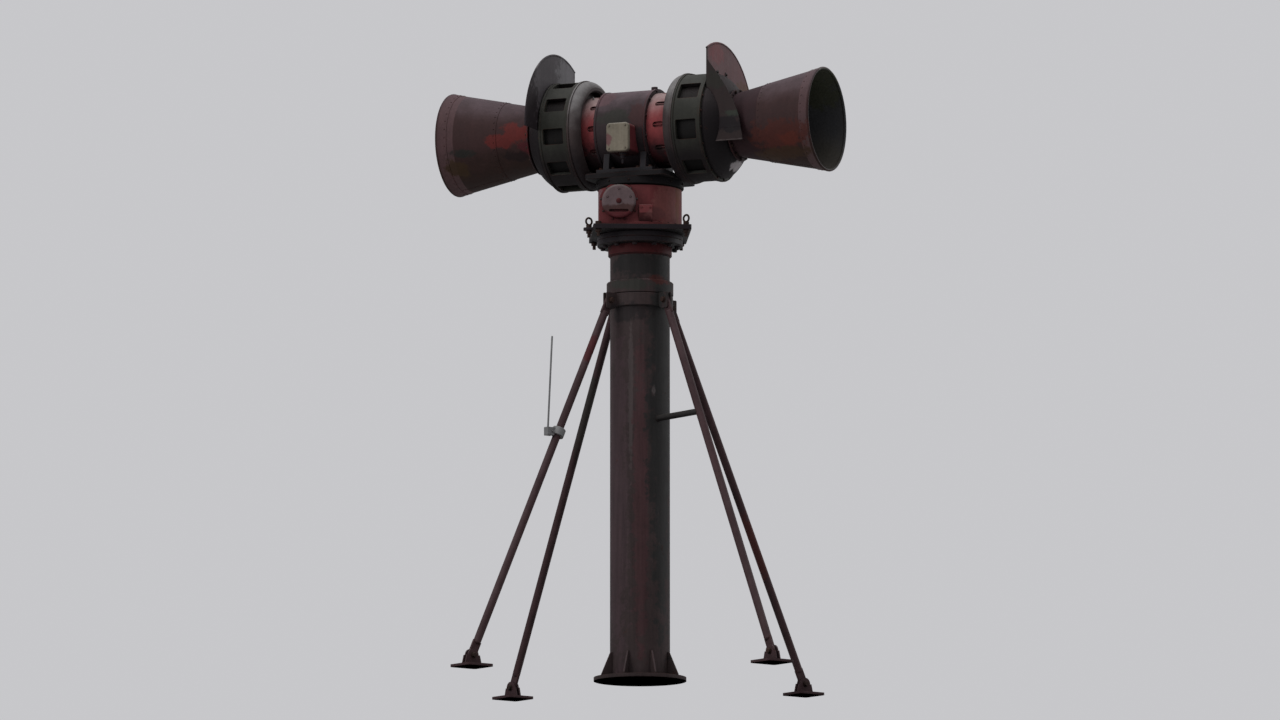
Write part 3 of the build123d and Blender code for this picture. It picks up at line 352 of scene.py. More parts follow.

# %% [markdown]
# The motor's end bells are the reddest things on the siren, apart from the pale top, which is partly bloom and
# partly painted light. The band between them is greyer, and its small terminal box has a lid of another colour:
# cream, with a pink stain.

# %% Paint the motor
bell_patches = [(from_shaft(end * 0.235, 0, -0.20), (0.1, 0.3, 0.09), (46, 34, 36)) for end in (1, -1)]
bell_paint = painted("end_bell_", "bell_paint", (120, 56, 58), (138, 118, 117), (56, 29, 33), bell_patches,
                     bleach=0.45)
band_patches = [
    (from_shaft(-0.05, -0.225, 0.05), (0.09, 0.1, 0.05), (47, 46, 43)),
    (from_shaft(-0.15, -0.15, 0.18), (0.06, 0.1, 0.06), (84, 64, 68)),
    (from_shaft(0.08, -0.22, 0.06), (0.05, 0.1, 0.09), (60, 40, 41)),
]
band_slabs = [("X", 0.108, 0.113, 0.7, (84, 38, 40))]
band_paint = painted(("motor_band", "lifting_lug"), "band_paint", (50, 42, 44), (92, 79, 84), (32, 26, 29),
                     band_patches, band_slabs, bleach=0.66, edge=(74, 42, 42))
painted("terminal_box", "box_paint", (88, 40, 44), (104, 70, 69), (42, 23, 25))
lid_patches = [(from_shaft(-0.05, -0.32, -0.085), (0.022, 0.1, 0.028), (98, 68, 70))]
lid_paint = painted("terminal_lid", "lid_paint", (112, 105, 93), (130, 124, 115), (78, 70, 63), lid_patches,
                    rust=0.2, edge=(92, 76, 72))

# %% Paint the chopper casings
casing_paint = painted("chopper_casing", "casing_paint", (44, 44, 40), (60, 60, 57), (28, 24, 25),
                       rust=0.12, bleach=0.5)
painted("chopper_cover", "cover_paint", (56, 48, 48), (112, 110, 110), (30, 25, 27), rust=0.12, bleach=0.35)
dish_patches = [
    (from_shaft(0.55, 0.03, -0.215), (0.05, 0.07, 0.03), (146, 140, 142)),
    (from_shaft(-0.55, 0.03, 0.2), (0.05, 0.1, 0.05), (70, 62, 64)),
]
painted("dished_face", "dish_paint", (27, 23, 25), (48, 43, 44), (26, 22, 24), dish_patches)

# %% [markdown]
# Each hood is a flat half-round plate with a rolled edge. One side is cut upright and folded back into a cheek,
# which faces another way and has kept other colours: brown, and a lighter grey-green band that is painted
# light. Its lower end is nearly black with painted shade, and a thin pale line along the bottom edge is a
# painted highlight. The cheeks are on opposite sides, since one half of the head is the other half turned about
# the mast.

# %% Paint the hoods
CHEEK_OFFSET = 0.217
CHEEK_DEPTH = 0.006


def cheek_slab(end):
    """The cheek's own colour, as a slab across the head."""
    near, far = sorted(-end * (CHEEK_OFFSET + depth) for depth in (-CHEEK_DEPTH, CHEEK_DEPTH))
    return "Y", near, far, 1.0, (46, 38, 38)


def cheek_patches(end):
    """Tints down the cheek: a grey spot, a grey-green band of painted light at the middle, painted shade below,
    and a painted highlight along the bottom edge.
    """
    spots = [
        ((0.54, 0.22), (0.07, 0.05), (43, 41, 38)),
        # The next three are painted light: a lighter band, painted shade below it, and a painted highlight
        # along the bottom edge.
        ((0.64, 0.03), (0.06, 0.02), (50, 54, 48)),
        ((0.60, -0.03), (0.14, 0.045), (28, 24, 27)),
        ((0.60, -0.115), (0.14, 0.005), (74, 66, 66)),
    ]
    return [(from_shaft(end * station, -end * CHEEK_OFFSET, height), (reach, 2 * CHEEK_DEPTH, rise), tint)
            for (station, height), (reach, rise), tint in spots]


hood_patches = {"right": [
    (from_shaft(0.485, -0.08, 0.39), (0.05, 0.10, 0.05), (104, 60, 63)),
    (from_shaft(0.485, 0.30, 0.20), (0.05, 0.10, 0.09), (84, 58, 48)),
    (from_shaft(0.485, -0.19, 0.24), (0.02, 0.018, 0.02), (112, 112, 118)),
], "left": [
    # Painted light on the left hood: painted shade with some dirt on its lower near part, and lighter towards
    # its far top.
    (from_shaft(-0.48, -0.44, 0.10), (0.05, 0.17, 0.30), (32, 26, 29)),
    (from_shaft(-0.48, -0.16, 0.30), (0.05, 0.12, 0.16), (66, 62, 65)),
    (from_shaft(-0.48, 0.10, 0.36), (0.05, 0.12, 0.11), (102, 100, 103)),
]}
hood_colours = {"right": ((92, 68, 70), (100, 78, 80)), "left": ((70, 66, 69), (88, 84, 86))}
hood_paint = {}
for side, end in SIDES.items():
    hood_paint[side] = painted(f"hood_{side}", f"hood_paint_{side}", *hood_colours[side], (40, 31, 34),
                               hood_patches[side] + cheek_patches(end), [cheek_slab(end)], rust=0.2,
                               edge=(40, 32, 35))

# %% [markdown]
# The horns carry the most colour. Seen from the near side, both are purple-grey on top, with a paler strip
# before the mouth. The left one has an orange-red patch that runs in towards the casing above a dark oval.
# The right one is dark maroon up to its first lap, where red begins at once, and is brown along its bottom.
# Inside, the horns are sooty and greyer, so the inside gets a material of its own.

# %% Paint the horns
HORN_SEAM = 0.765
HORN_BAND = 1.035
HORN_RIM = 1.085


def beside_shaft(station, height, radius):
    """A point on a horn's near side, at a height above or below the shaft."""
    return from_shaft(station, -sqrt(radius ** 2 - height ** 2), height)


horn_patches = {"left": [
    (beside_shaft(-0.745, -0.03, 0.21), (0.08, 0.14, 0.036), (88, 37, 35)),
    (beside_shaft(-0.65, 0.015, 0.20), (0.08, 0.14, 0.048), (90, 38, 36)),
    (beside_shaft(-0.56, -0.08, 0.18), (0.08, 0.14, 0.04), (72, 30, 35)),
    (beside_shaft(-0.65, -0.11, 0.20), (0.07, 0.12, 0.028), (34, 24, 25)),
    (beside_shaft(-0.95, -0.09, 0.24), (0.05, 0.14, 0.02), (36, 36, 34)),
    (beside_shaft(-1.00, -0.17, 0.25), (0.06, 0.14, 0.04), (54, 40, 27)),
], "right": [
    (beside_shaft(0.92, -0.11, 0.24), (0.17, 0.16, 0.08), (68, 36, 32)),
    (beside_shaft(0.96, -0.13, 0.24), (0.07, 0.14, 0.035), (78, 38, 31)),
    (beside_shaft(0.90, -0.195, 0.24), (0.18, 0.13, 0.03), (54, 39, 29)),
    # A painted highlight along the top of the right horn near its mouth.
    (from_shaft(1.0, 0, 0.26), (0.12, 0.12, 0.03), (108, 102, 101)),
]}
horn_slabs = {"left": [
    ("X", -HORN_RIM, -1.0, 0.6, (86, 66, 68)),
    ("X", -0.60, -0.50, 0.6, (52, 41, 45)),
], "right": [
    ("X", 0.50, HORN_SEAM, 0.75, (42, 27, 31)),
    ("X", HORN_BAND, HORN_RIM, 0.5, (86, 68, 70)),
]}
horn_paint = {}
for side in SIDES:
    horn_paint[side] = weathered(f"horn_paint_{side}", (54, 38, 38), (78, 66, 70), (44, 31, 28),
                                 horn_patches[side], horn_slabs[side], rust=0.25, streaks=0.4, bleach=0.62)
mouth_patches = [(from_shaft(end * 0.95, 0.05, 0.2), (0.2, 0.2, 0.12), (58, 59, 48)) for end in (1, -1)]
mouth_paint = weathered("mouth_paint", (58, 58, 60), (60, 57, 53), (56, 57, 54), mouth_patches, rust=0.2)

# %% [markdown]
# New pieces start from a primitive and are shaped in edit mode. Two habits help here. Everything is
# deselected first, because an operator acts on all that is selected. And each finished piece has its place
# moved into its mesh, so that its object sits at the origin as the solids do.

# %% Helpers for modelling
def deselect():
    """Leave edit mode, with nothing selected."""
    if bpy.context.mode != "OBJECT":
        bpy.ops.object.mode_set(mode="OBJECT")
    bpy.ops.object.select_all(action="DESELECT")


def settle(piece):
    """Move a piece's place into its mesh."""
    deselect()
    piece.select_set(True)
    bpy.context.view_layer.objects.active = piece
    bpy.ops.object.transform_apply(location=True, rotation=True, scale=True)
    return piece


def round_off(piece, reach, steps=1):
    """Take the corners off a piece all round, and settle it."""
    bpy.ops.object.mode_set(mode="EDIT")
    bpy.ops.mesh.select_all(action="SELECT")
    bpy.ops.mesh.bevel(offset=reach, segments=steps)
    return settle(piece)


def joined(name, parts):
    """Several parts made into one piece. The last one is the one that the others join."""
    deselect()
    for part in parts:
        part.select_set(True)
        bpy.context.view_layer.objects.active = part
    bpy.ops.object.join()
    bpy.context.object.name = name
    return bpy.context.object


def keep(piece, body, slot, material):
    """Hand a finished piece over: its body and its material. The slot of its finish is not used."""
    settle(piece)
    dress(material, piece)
    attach(piece, body)
    print(piece.name, len(piece.data.polygons), "faces")
    return piece


# %% [markdown]
# Horns, hoops and weld beads are all round an axis. A lathe shape is the quickest way to such a form: a
# single corner is pulled along half of the outline, and the line is spun round the axis. It gives clean rings
# of faces, and the outline can have steps and rolls as fine as they need to be.

# %% Turn an outline round an axis
SMOOTH_ANGLE = radians(32)
TIP = 0.00001


def pulled_line(name, outline):
    """A corner pulled along an outline, left in edit mode with all of it selected."""
    deselect()
    bpy.ops.mesh.primitive_plane_add(size=0.01, location=outline[0])
    piece = bpy.context.object
    piece.name = name
    bpy.ops.object.mode_set(mode="EDIT")
    bpy.ops.mesh.select_mode(type="VERT")
    bpy.ops.mesh.merge(type="CENTER")
    for here, there in zip(outline, outline[1:]):
        bpy.ops.mesh.extrude_vertices_move(TRANSFORM_OT_translate={"value": there - here})
    bpy.ops.mesh.select_all(action="SELECT")
    return piece


def turned(name, outline, centre, axis, steps):
    """Draw an outline, spin it, and close the seam."""
    piece = pulled_line(name, outline)
    bpy.ops.mesh.spin(steps=steps, angle=2 * pi, center=centre, axis=axis)
    bpy.ops.mesh.select_all(action="SELECT")
    bpy.ops.mesh.remove_doubles(threshold=0.00002)
    bpy.ops.mesh.normals_make_consistent(inside=False)
    settle(piece)
    bpy.ops.object.shade_smooth_by_angle(angle=SMOOTH_ANGLE)
    return piece


def turned_round_shaft(name, end, outline, steps):
    """A lathe piece round the shaft, from stations and radii."""
    line = [from_shaft(end * station, 0, radius) for station, radius in outline]
    return turned(name, line, SHAFT, ALONG, steps)


# %% Roll the horns from sheet
horn_low, horn_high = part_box("horn_right")
BEAD = 0.0075
SHEET = 0.004
LAP = 0.002
HORN_ROOT = horn_low.x
HORN_MOUTH = horn_high.x - BEAD
HORN_ROOT_RADIUS = 0.160
HORN_MOUTH_RADIUS = horn_high.z - SHAFT.z - BEAD + SHEET / 2
HORN_SLOPE = (HORN_MOUTH_RADIUS - HORN_ROOT_RADIUS) / (HORN_MOUTH - HORN_ROOT)
HORN_STEPS = 112


def horn_radius(station):
    """The outside of the horn's sheet, before its laps."""
    return HORN_ROOT_RADIUS + HORN_SLOPE * (station - HORN_ROOT)


def horn_outline():
    """Stations and radii round the horn's wall, with a lap, a mouth band and a rolled bead."""
    outside = [(HORN_ROOT, 0), (HORN_SEAM, 0), (HORN_SEAM, LAP), (HORN_BAND, LAP), (HORN_BAND, 2 * LAP)]
    outline = [(station, horn_radius(station) + lift) for station, lift in outside]
    for turn in range(140, -150, -28):
        angle = radians(turn)
        radius = HORN_MOUTH_RADIUS - SHEET / 2 + BEAD * sin(angle)
        outline.append((HORN_MOUTH + BEAD * cos(angle), radius))
    outline += [(station, horn_radius(station) - SHEET) for station in (HORN_MOUTH - BEAD, HORN_ROOT)]
    return outline + outline[:1]


def line_inside(piece, material):
    """Give the faces that look at the shaft a material of their own."""
    piece.data.materials.append(material)
    for face in piece.data.polygons:
        away = face.center - SHAFT
        if face.normal.dot(Vector((0, away.y, away.z))) < 0:
            face.material_index = 1


for side, end in SIDES.items():
    horn = turned_round_shaft(f"rolled_horn_{side}", end, horn_outline(), HORN_STEPS)
    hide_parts(f"horn_{side}")
    keep(horn, "head", "horn_paint", horn_paint[side])
    line_inside(horn, mouth_paint)

# %% [markdown]
# Bolts and rivets repeat hundreds of times, so each is modelled once and as plainly as it can be and still
# look right. A copy gets a mesh of its own, and all the copies of one row are joined to one piece.

# %% Model a bolt head on its washer, one metre across and seated on the floor
deselect()
bpy.ops.mesh.primitive_cylinder_add(vertices=20, radius=0.5, depth=0.08, location=(0, 0, 0.04))
washer = round_off(bpy.context.object, 0.02)
bpy.ops.mesh.primitive_cylinder_add(vertices=6, radius=0.4, depth=0.34, location=(0, 0, 0.25))
bolt = joined("bolt_pattern", [washer, round_off(bpy.context.object, 0.035, 2)])

# %% Model a rivet, a low dome that is also one metre across
deselect()
bpy.ops.mesh.primitive_uv_sphere_add(segments=10, ring_count=8, radius=0.5)
rivet = bpy.context.object
rivet.name = "rivet_pattern"
bpy.ops.object.mode_set(mode="EDIT")
bpy.ops.mesh.bisect(plane_co=(0, 0, 0), plane_no=(0, 0, 1), clear_inner=True, use_fill=True)
bpy.ops.mesh.select_all(action="SELECT")
bpy.ops.transform.resize(value=(1, 1, 0.6), center_override=(0, 0, 0))
settle(rivet)
bpy.ops.object.shade_smooth_by_angle(angle=SMOOTH_ANGLE)

# %% Copy a small piece to many places
def standing(point, direction, up=UP):
    """The matrix that stands a pattern at a point, its Z along a direction and its Y towards up."""
    axis = Vector(direction).normalized()
    across = up.cross(axis)
    across = across.normalized() if across.length > 0.01 else ALONG
    turn = Matrix((across, axis.cross(across), axis)).transposed().to_4x4()
    return Matrix.Translation(point) @ turn


def scatter(name, pattern, places, size, *finish):
    """Copies of a pattern, each standing at a point in a direction, joined and kept as one piece."""
    copies = []
    for place in places:
        copy = pattern.copy()
        copy.data = pattern.data.copy()
        bpy.context.scene.collection.objects.link(copy)
        copy.matrix_world = standing(*place) @ Matrix.Scale(size, 4)
        copies.append(copy)
    keep(joined(name, copies), *finish)


def ring(count, start=0.0, sweep=360.0):
    """Evenly spaced turns, in degrees."""
    return [start + sweep * number / count for number in range(count)]


# %% Rivet the horns' laps
SEAM_INSET = 0.014
BAND_INSET = 0.012
SEAM_TURN = -78
SEAM_START = HORN_SEAM + 0.03
SEAM_RIVETS = 18
SEAM_PITCH = 0.0137
lean = atan2(HORN_SLOPE, 1)
for side, end in SIDES.items():
    places = []
    for station, lap in ((HORN_SEAM + SEAM_INSET, LAP), (HORN_BAND + BAND_INSET, 2 * LAP)):
        for turn in ring(36):
            point = round_shaft(end, station, horn_radius(station) + lap, turn)
            places.append((point, off_shaft(turn) * cos(lean) - ALONG * end * sin(lean)))
    for number in range(SEAM_RIVETS):
        station = SEAM_START + number * SEAM_PITCH
        point = round_shaft(end, station, horn_radius(station) + LAP, SEAM_TURN)
        places.append((point, off_shaft(SEAM_TURN)))
    scatter(f"horn_rivets_{side}", rivet, places, 0.008, "head", "horn_paint", horn_paint[side])

# %% [markdown]
# A flange bolts each horn to the dished face, and more bolts hold the dished face to the casing. Two hoops
# stiffen the casing beside its ports, and they are what makes the small steps in its outline.

# %% Add the horns' root flanges and the casings' hoops
_, dish_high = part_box("dished_face_right")
casing_low, casing_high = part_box("chopper_casing_right")
CASING_RADIUS = casing_high.z - SHAFT.z
CASING_BOLT_RADIUS = CASING_RADIUS - 0.0075
FLANGE_SEAT = 0.0004
FLANGE_ROOM = 0.0016
FLANGE_REACH = 0.022
FLANGE_THICKNESS = 0.009
HOOP_WIDTH = 0.012
HOOP_RISE = 0.004
HOOP_STARTS = {"inner": casing_low.x, "outer": casing_high.x - HOOP_WIDTH}


def hoop(name, end, inner, outer, start, width):
    """A plain ring round the shaft, with its outer corners taken off."""
    cut = min(width, outer - inner) * 0.25
    outline = [(start, inner), (start, outer - cut), (start + cut, outer), (start + width - cut, outer),
               (start + width, outer - cut), (start + width, inner), (start, inner)]
    return turned_round_shaft(name, end, outline, 96)


def facing_out(end, station, radius, turns):
    """Places for bolts on a face of the head that looks away from the mast."""
    return [(round_shaft(end, station, radius, turn), (end, 0, 0)) for turn in turns]


for side, end in SIDES.items():
    neck = dish_high.x + FLANGE_SEAT
    root = horn_radius(neck) + FLANGE_ROOM
    flange = hoop(f"horn_flange_{side}", end, root, root + FLANGE_REACH, neck, FLANGE_THICKNESS)
    keep(flange, "head", "horn_paint", horn_paint[side])
    places = facing_out(end, neck + FLANGE_THICKNESS, root + FLANGE_REACH / 2, ring(16))
    scatter(f"horn_flange_bolts_{side}", bolt, places, 0.019, "head", "rusty_steel", rusty)
    for word, start in HOOP_STARTS.items():
        band = hoop(f"casing_hoop_{word}_{side}", end, CASING_RADIUS + 0.0002, CASING_RADIUS + HOOP_RISE,
                    start, HOOP_WIDTH)
        keep(band, "head", "casing_paint", casing_paint)
    places = facing_out(end, casing_high.x, CASING_BOLT_RADIUS, ring(20, 9))
    scatter(f"casing_bolts_{side}", bolt, places, 0.014, "head", "rusty_steel", rusty)

# %% [markdown]
# The hood is clamped to the rim of the dished face by short angles. One leg of each lies on the rim, and the
# other is bolted to the plate. The angle is a thin block, cut across near its foot so that a lower face can
# be pulled out to make the second leg.

# %% Clip the hoods to the dished faces
CLIP_WIDTH = 0.030
CLIP_REACH = 0.024
CLIP_RISE = 0.0065
CLIP_SHEET = 0.003
CLIP_TURNS = (52, 76, 100, 124, 148, 170)
CLIP_SCREW = 0.014
HOOD_FACE = 0.4851
RIM_RADIUS = 0.2816


def model_block(name, size, middle):
    """A block of a size, its place moved into its mesh."""
    deselect()
    bpy.ops.mesh.primitive_cube_add(size=1, location=middle)
    block = bpy.context.object
    block.name = name
    block.scale = size
    return settle(block)


size = Vector((CLIP_WIDTH, CLIP_SHEET, CLIP_RISE))
clip = model_block("clip_pattern", size, (0, size.y / 2, size.z / 2))
bpy.ops.object.mode_set(mode="EDIT")
bpy.ops.mesh.bisect(plane_co=(0, 0, CLIP_SHEET), plane_no=(0, 0, 1))
bpy.ops.object.mode_set(mode="OBJECT")
for face in clip.data.polygons:
    face.select = face.normal.y > 0.9 and face.center.z < CLIP_SHEET
bpy.ops.object.mode_set(mode="EDIT")
bpy.ops.mesh.select_mode(type="FACE")
bpy.ops.mesh.extrude_region_move(TRANSFORM_OT_translate={"value": (0, CLIP_REACH - CLIP_SHEET, 0)})
round_off(clip, 0.0006)
for side, end in SIDES.items():
    turns = CLIP_TURNS if side == "right" else [180 - turn for turn in CLIP_TURNS]
    places = [(*place, off_shaft(turn)) for turn, place in
              zip(turns, facing_out(end, HOOD_FACE, RIM_RADIUS, turns))]
    scatter(f"hood_clips_{side}", clip, places, 1, "head", "dark_iron", iron)
    heads = facing_out(end, HOOD_FACE + CLIP_SHEET, RIM_RADIUS + CLIP_SCREW, turns)
    scatter(f"hood_bolts_{side}", bolt, heads, 0.013, "head", "rusty_steel", rusty)

# %% [markdown]
# A cheek reaches further down than its solid does, so its lower end is cut from sheet here. Its back edge
# follows the dished face. The outline is drawn by pulling a corner along it, filled, and pulled out to the
# sheet's thickness.

# %% Lengthen the cheeks
CHEEK_SHEET = 0.005
CHEEK_END = [(0.5550, -0.0488), (0.6808, -0.0488), (0.6885, -0.085), (0.6920, -0.1175), (0.5345, -0.1175),
             (0.5472, -0.084)]


def cut_plate(name, outline, depth):
    """A sheet cut to an outline."""
    plate = pulled_line(name, outline)
    bpy.ops.mesh.edge_face_add()
    bpy.ops.mesh.extrude_region_move(TRANSFORM_OT_translate={"value": depth})
    bpy.ops.mesh.select_all(action="SELECT")
    bpy.ops.mesh.normals_make_consistent(inside=False)
    return round_off(plate, 0.0008)


for side, end in SIDES.items():
    outline = [from_shaft(end * station, -end * CHEEK_OFFSET - CHEEK_SHEET / 2, height)
               for station, height in CHEEK_END]
    cheek = cut_plate(f"cheek_end_{side}", outline, Vector((0, CHEEK_SHEET, 0)))
    keep(cheek, "head", "hood_paint", hood_paint[side])

# %% [markdown]
# The motor is a cast band with an end bell bolted to each side of it, so a ring of screws shows on both ends
# of the band. The bells' slots are guarded by a bar each, which keeps fingers and birds out. A bar is a block
# that has its top pulled in and its edges rounded.

# %% Screw the bells on and bar their slots
BELL_RADIUS = 0.205
BELL_SCREW_RADIUS = 0.2165
BAR_RADIUS = BELL_RADIUS - 0.007
BAR_START = 0.163
BAR_END = 0.221
bar = model_block("bar_pattern", (1, 0.13, 0.1), (0, 0, 0.05))
for face in bar.data.polygons:
    face.select = face.normal.z > 0.9
bpy.ops.object.mode_set(mode="EDIT")
bpy.ops.mesh.select_mode(type="FACE")
bpy.ops.transform.resize(value=(1, 0.6, 1))
round_off(bar, 0.012, 2)
for side, end in SIDES.items():
    band_end = max(end * band_low.x, end * band_high.x)
    places = facing_out(end, band_end, BELL_SCREW_RADIUS, ring(12, 15))
    scatter(f"bell_screws_{side}", bolt, places, 0.015, "head", "band_paint", band_paint)
    inner = max(BAR_START, band_end + 0.001)
    places = []
    for turn in ring(10):
        point = round_shaft(end, (inner + BAR_END) / 2, BAR_RADIUS, turn)
        places.append((point, off_shaft(turn), off_shaft(turn).cross(ALONG)))
    scatter(f"vent_bars_{side}", bar, places, BAR_END - inner, "head", "red_paint", bell_paint)

# %% [markdown]
# Small turned parts come from one more lathe outline each: the grease nipples on the bells, the cap in the
# middle of the slewing motor's end, and the gland under the terminal box. An outline that has to close on its
# axis stops a hair short of it, at the tip radius.

# %% Turn the nipples, the cap and the gland
def turned_part(name, point, axis, outline, steps=20):
    """A small lathe part that stands at a point along an axis. The outline gives radius and height."""
    axis = Vector(axis).normalized()
    side = axis.orthogonal().normalized()
    line = [point + side * radius + axis * height for radius, height in outline]
    return turned(name, line, point, axis, steps)


NIPPLE = [(TIP, 0), (0.006, 0), (0.006, 0.004), (0.0035, 0.006), (0.003, 0.010), (0.004, 0.012),
          (0.002, 0.015), (TIP, 0.0155)]
NIPPLE_STATION = 0.233
for side, end in SIDES.items():
    for turn in (62, 118):
        point = round_shaft(end, NIPPLE_STATION, BELL_RADIUS - 0.0003, turn)
        nipple = turned_part(f"grease_nipple_{side}_{turn}", point, off_shaft(turn), NIPPLE)
        keep(nipple, "head", "bare_steel", zinc)

GLAND = [(TIP, 0), (0.019, 0), (0.019, 0.012), (0.014, 0.014), (0.014, 0.030), (0.0125, 0.032),
         (0.0075, 0.032), (0.0075, 0.058), (TIP, 0.060)]
box_low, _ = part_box("terminal_box")
gland_point = Vector((0.012, box_low.y + 0.035, box_low.z + 0.0003))
keep(turned_part("cable_gland", gland_point, (0, 0, -1), GLAND, 28), "head", "dark_iron", iron)

_, slew_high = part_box("slew_motor")
ACROSS = near_mast(90, 1, 0)
FACING = near_mast(0, 1, 0)
SLEW_ASIDE = -0.114
SLEW_DROP = 0.092
SLEW_CENTRE = ACROSS * SLEW_ASIDE + UP * (slew_high.z - SLEW_DROP)
SLEW_END = 0.272
SLEW_FLANGE = 0.228


def on_slew(radius, turn, face):
    """A point on the slewing motor's end, at a turn from level on the right."""
    angle = radians(turn)
    return SLEW_CENTRE + FACING * face + (ACROSS * cos(angle) + UP * sin(angle)) * radius


CAP = [(TIP, 0.005), (0.010, 0.005), (0.0135, 0.003), (0.015, 0), (TIP, -0.0005)]
cap = turned_part("slew_cap", on_slew(0, 0, SLEW_END), FACING, CAP)
keep(cap, "mast", "red_paint", sleeve_paint)

# %% Put screws in the small covers
lid_low, lid_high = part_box("terminal_lid")
INSET = 0.018
places = [(Vector((x, lid_low.y, z)), (0, -1, 0)) for x in (lid_low.x + INSET, lid_high.x - INSET)
          for z in (lid_low.z + INSET, lid_high.z - INSET)]
scatter("lid_screws", bolt, places, 0.011, "head", "cream_paint", lid_paint)
places = [(on_slew(0.099, turn, SLEW_FLANGE), FACING) for turn in (-150, -110, -70, -30, 10, 50, 130, 170)]
places += [(on_slew(0.066, turn, SLEW_END), FACING) for turn in (20, 90, 160)]
scatter("slew_screws", bolt, places, 0.012, "mast", "faded_grey", slew_paint)
FILLER_ASIDE = 0.032
filler_face = FACING * 0.262 + UP * 2.545
places = [(ACROSS * (FILLER_ASIDE + aside) + filler_face, FACING) for aside in (-0.024, 0.024)]
scatter("filler_screws", bolt, places, 0.011, "mast", "red_paint", drum_paint)

# %% [markdown]
# The heavy joints are bolted: the cradle's rails to the turntable, the turntable to the ring under it, the
# drum to the head plate, and the pair of flanges round the sleeve, whose bolt heads point down.

# %% Bolt the cradle, the turntable and the drum
_, table_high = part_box("turntable_plate")
_, ring_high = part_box("turntable_ring")
drum_low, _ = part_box("gear_drum")
RAIL_FOOT = 0.022
RING_MIDDLE = 2.704
DRUM_FOOT = 0.018
DRUM_BOLT_RADIUS = 0.2335
places = [(Vector((x, y, table_high.z + RAIL_FOOT)), UP) for x in (-0.155, -0.082, 0.062, 0.135)
          for y in (-0.178, 0.178)]
scatter("cradle_bolts", bolt, places, 0.024, "head", "rusty_steel", rusty)
places = [(Vector((x, y, table_high.z)), UP) for x in (-0.198, 0.198) for y in (-0.09, 0, 0.09)]
scatter("turntable_bolts", bolt, places, 0.021, "head", "rusty_steel", rusty)
places = [(round_mast(azimuth, ring_high.x, RING_MIDDLE), round_mast(azimuth, 1, 0))
          for azimuth in ring(12, 8)]
scatter("ring_screws", bolt, places, 0.013, "head", "dark_iron", table_iron)
places = [(round_mast(azimuth, DRUM_BOLT_RADIUS, drum_low.z + DRUM_FOOT), UP)
          for azimuth in ring(18, -40, 255)]
scatter("drum_bolts", bolt, places, 0.011, "mast", "rusty_steel", rusty)

# %% [markdown]
# A pair of flanges sits round the sleeve, under the head plate, with an open seam between them. The collar
# below is as tall as the clamp that it rests on. All of these are lathe outlines, given as radii and drops
# below a height.

# %% Ring the mast
pipe_low, pipe_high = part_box("mast_pipe")
_, collar_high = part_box("mast_collar")
PIPE_RADIUS = pipe_high.x
PIPE_BORE = 0.1623
SLEEVE_BORE = 0.1732
CORNER = 0.004
RING_RISE = 0.072
FLANGE_DROP = 0.062
FLANGE_RADIUS = 0.232
FLANGE_BOLT_RADIUS = 0.203
FLANGE_PAIR = [(SLEEVE_BORE, 0.0003), (0.228, 0.0003), (FLANGE_RADIUS, 0.004), (FLANGE_RADIUS, 0.0295),
               (0.229, 0.0295), (0.229, 0.0325), (FLANGE_RADIUS, 0.0325), (FLANGE_RADIUS, 0.058),
               (0.228, FLANGE_DROP), (SLEEVE_BORE, FLANGE_DROP)]


def mast_ring(name, outline, top):
    """A ring round the mast, from radii and drops below a height."""
    line = [Vector((radius, 0, top - drop)) for radius, drop in outline]
    return turned(name, line + line[:1], Vector(), UP, 96)


def plain_outline(radius, rise):
    """The outline of a ring on the pipe, with its outer corners taken off."""
    return [(PIPE_BORE, 0), (radius - CORNER, 0), (radius, CORNER), (radius, rise - CORNER),
            (radius - CORNER, rise), (PIPE_BORE, rise)]


flanges = mast_ring("sleeve_flanges", FLANGE_PAIR, pipe_high.z)
keep(flanges, "mast", "dark_iron", iron)
places = [(round_mast(azimuth, FLANGE_BOLT_RADIUS, pipe_high.z - FLANGE_DROP), -UP)
          for azimuth in ring(12, 15)]
scatter("flange_bolts", bolt, places, 0.034, "mast", "dark_iron", iron)
collar = mast_ring("tall_collar", plain_outline(0.181, RING_RISE), collar_high.z)
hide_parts("mast_collar")
keep(collar, "mast", "mast_paint", mast_paint)

# %% [markdown]
# Each leg hangs on a pin at the clamp and stands on another at its foot. In the photograph the upper pins are
# closer to the mast than the solids have them, and the lugs stick out less. So the clamp and the legs are
# made again, from the feet's own pins up to new ones. Lugs are cut plates, and so is the flattened tongue at
# each end of a leg. The leg itself is turned.

# %% Find the legs' pins
CLAMP_TOP = collar_high.z - RING_RISE
LUG_GAP = 0.0073
LUG_SHEET = 0.009
TOP_PIN = (0.217, CLAMP_TOP - 0.042)
FOOT_PIN_HEIGHT = 0.062


def sideways(point):
    """The level direction at right angles to the way out from the mast to a point."""
    return UP.cross(Vector((point.x, point.y, 0))).normalized()


pins = {}
for corner, azimuth in (("near_right", -27), ("far_right", 63), ("far_left", 153), ("near_left", 243)):
    foot_low, foot_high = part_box(f"foot_{corner}")
    foot = (foot_low + foot_high) / 2
    foot_pin = Vector((foot.x, foot.y, FOOT_PIN_HEIGHT))
    top_pin = round_mast(azimuth, *TOP_PIN)
    pins[corner] = [(foot_pin, sideways(foot)), (top_pin, round_mast(azimuth + 90, 1, 0))]
    print(corner, "leg", round((top_pin - foot_pin).length, 3), "m between its pins")

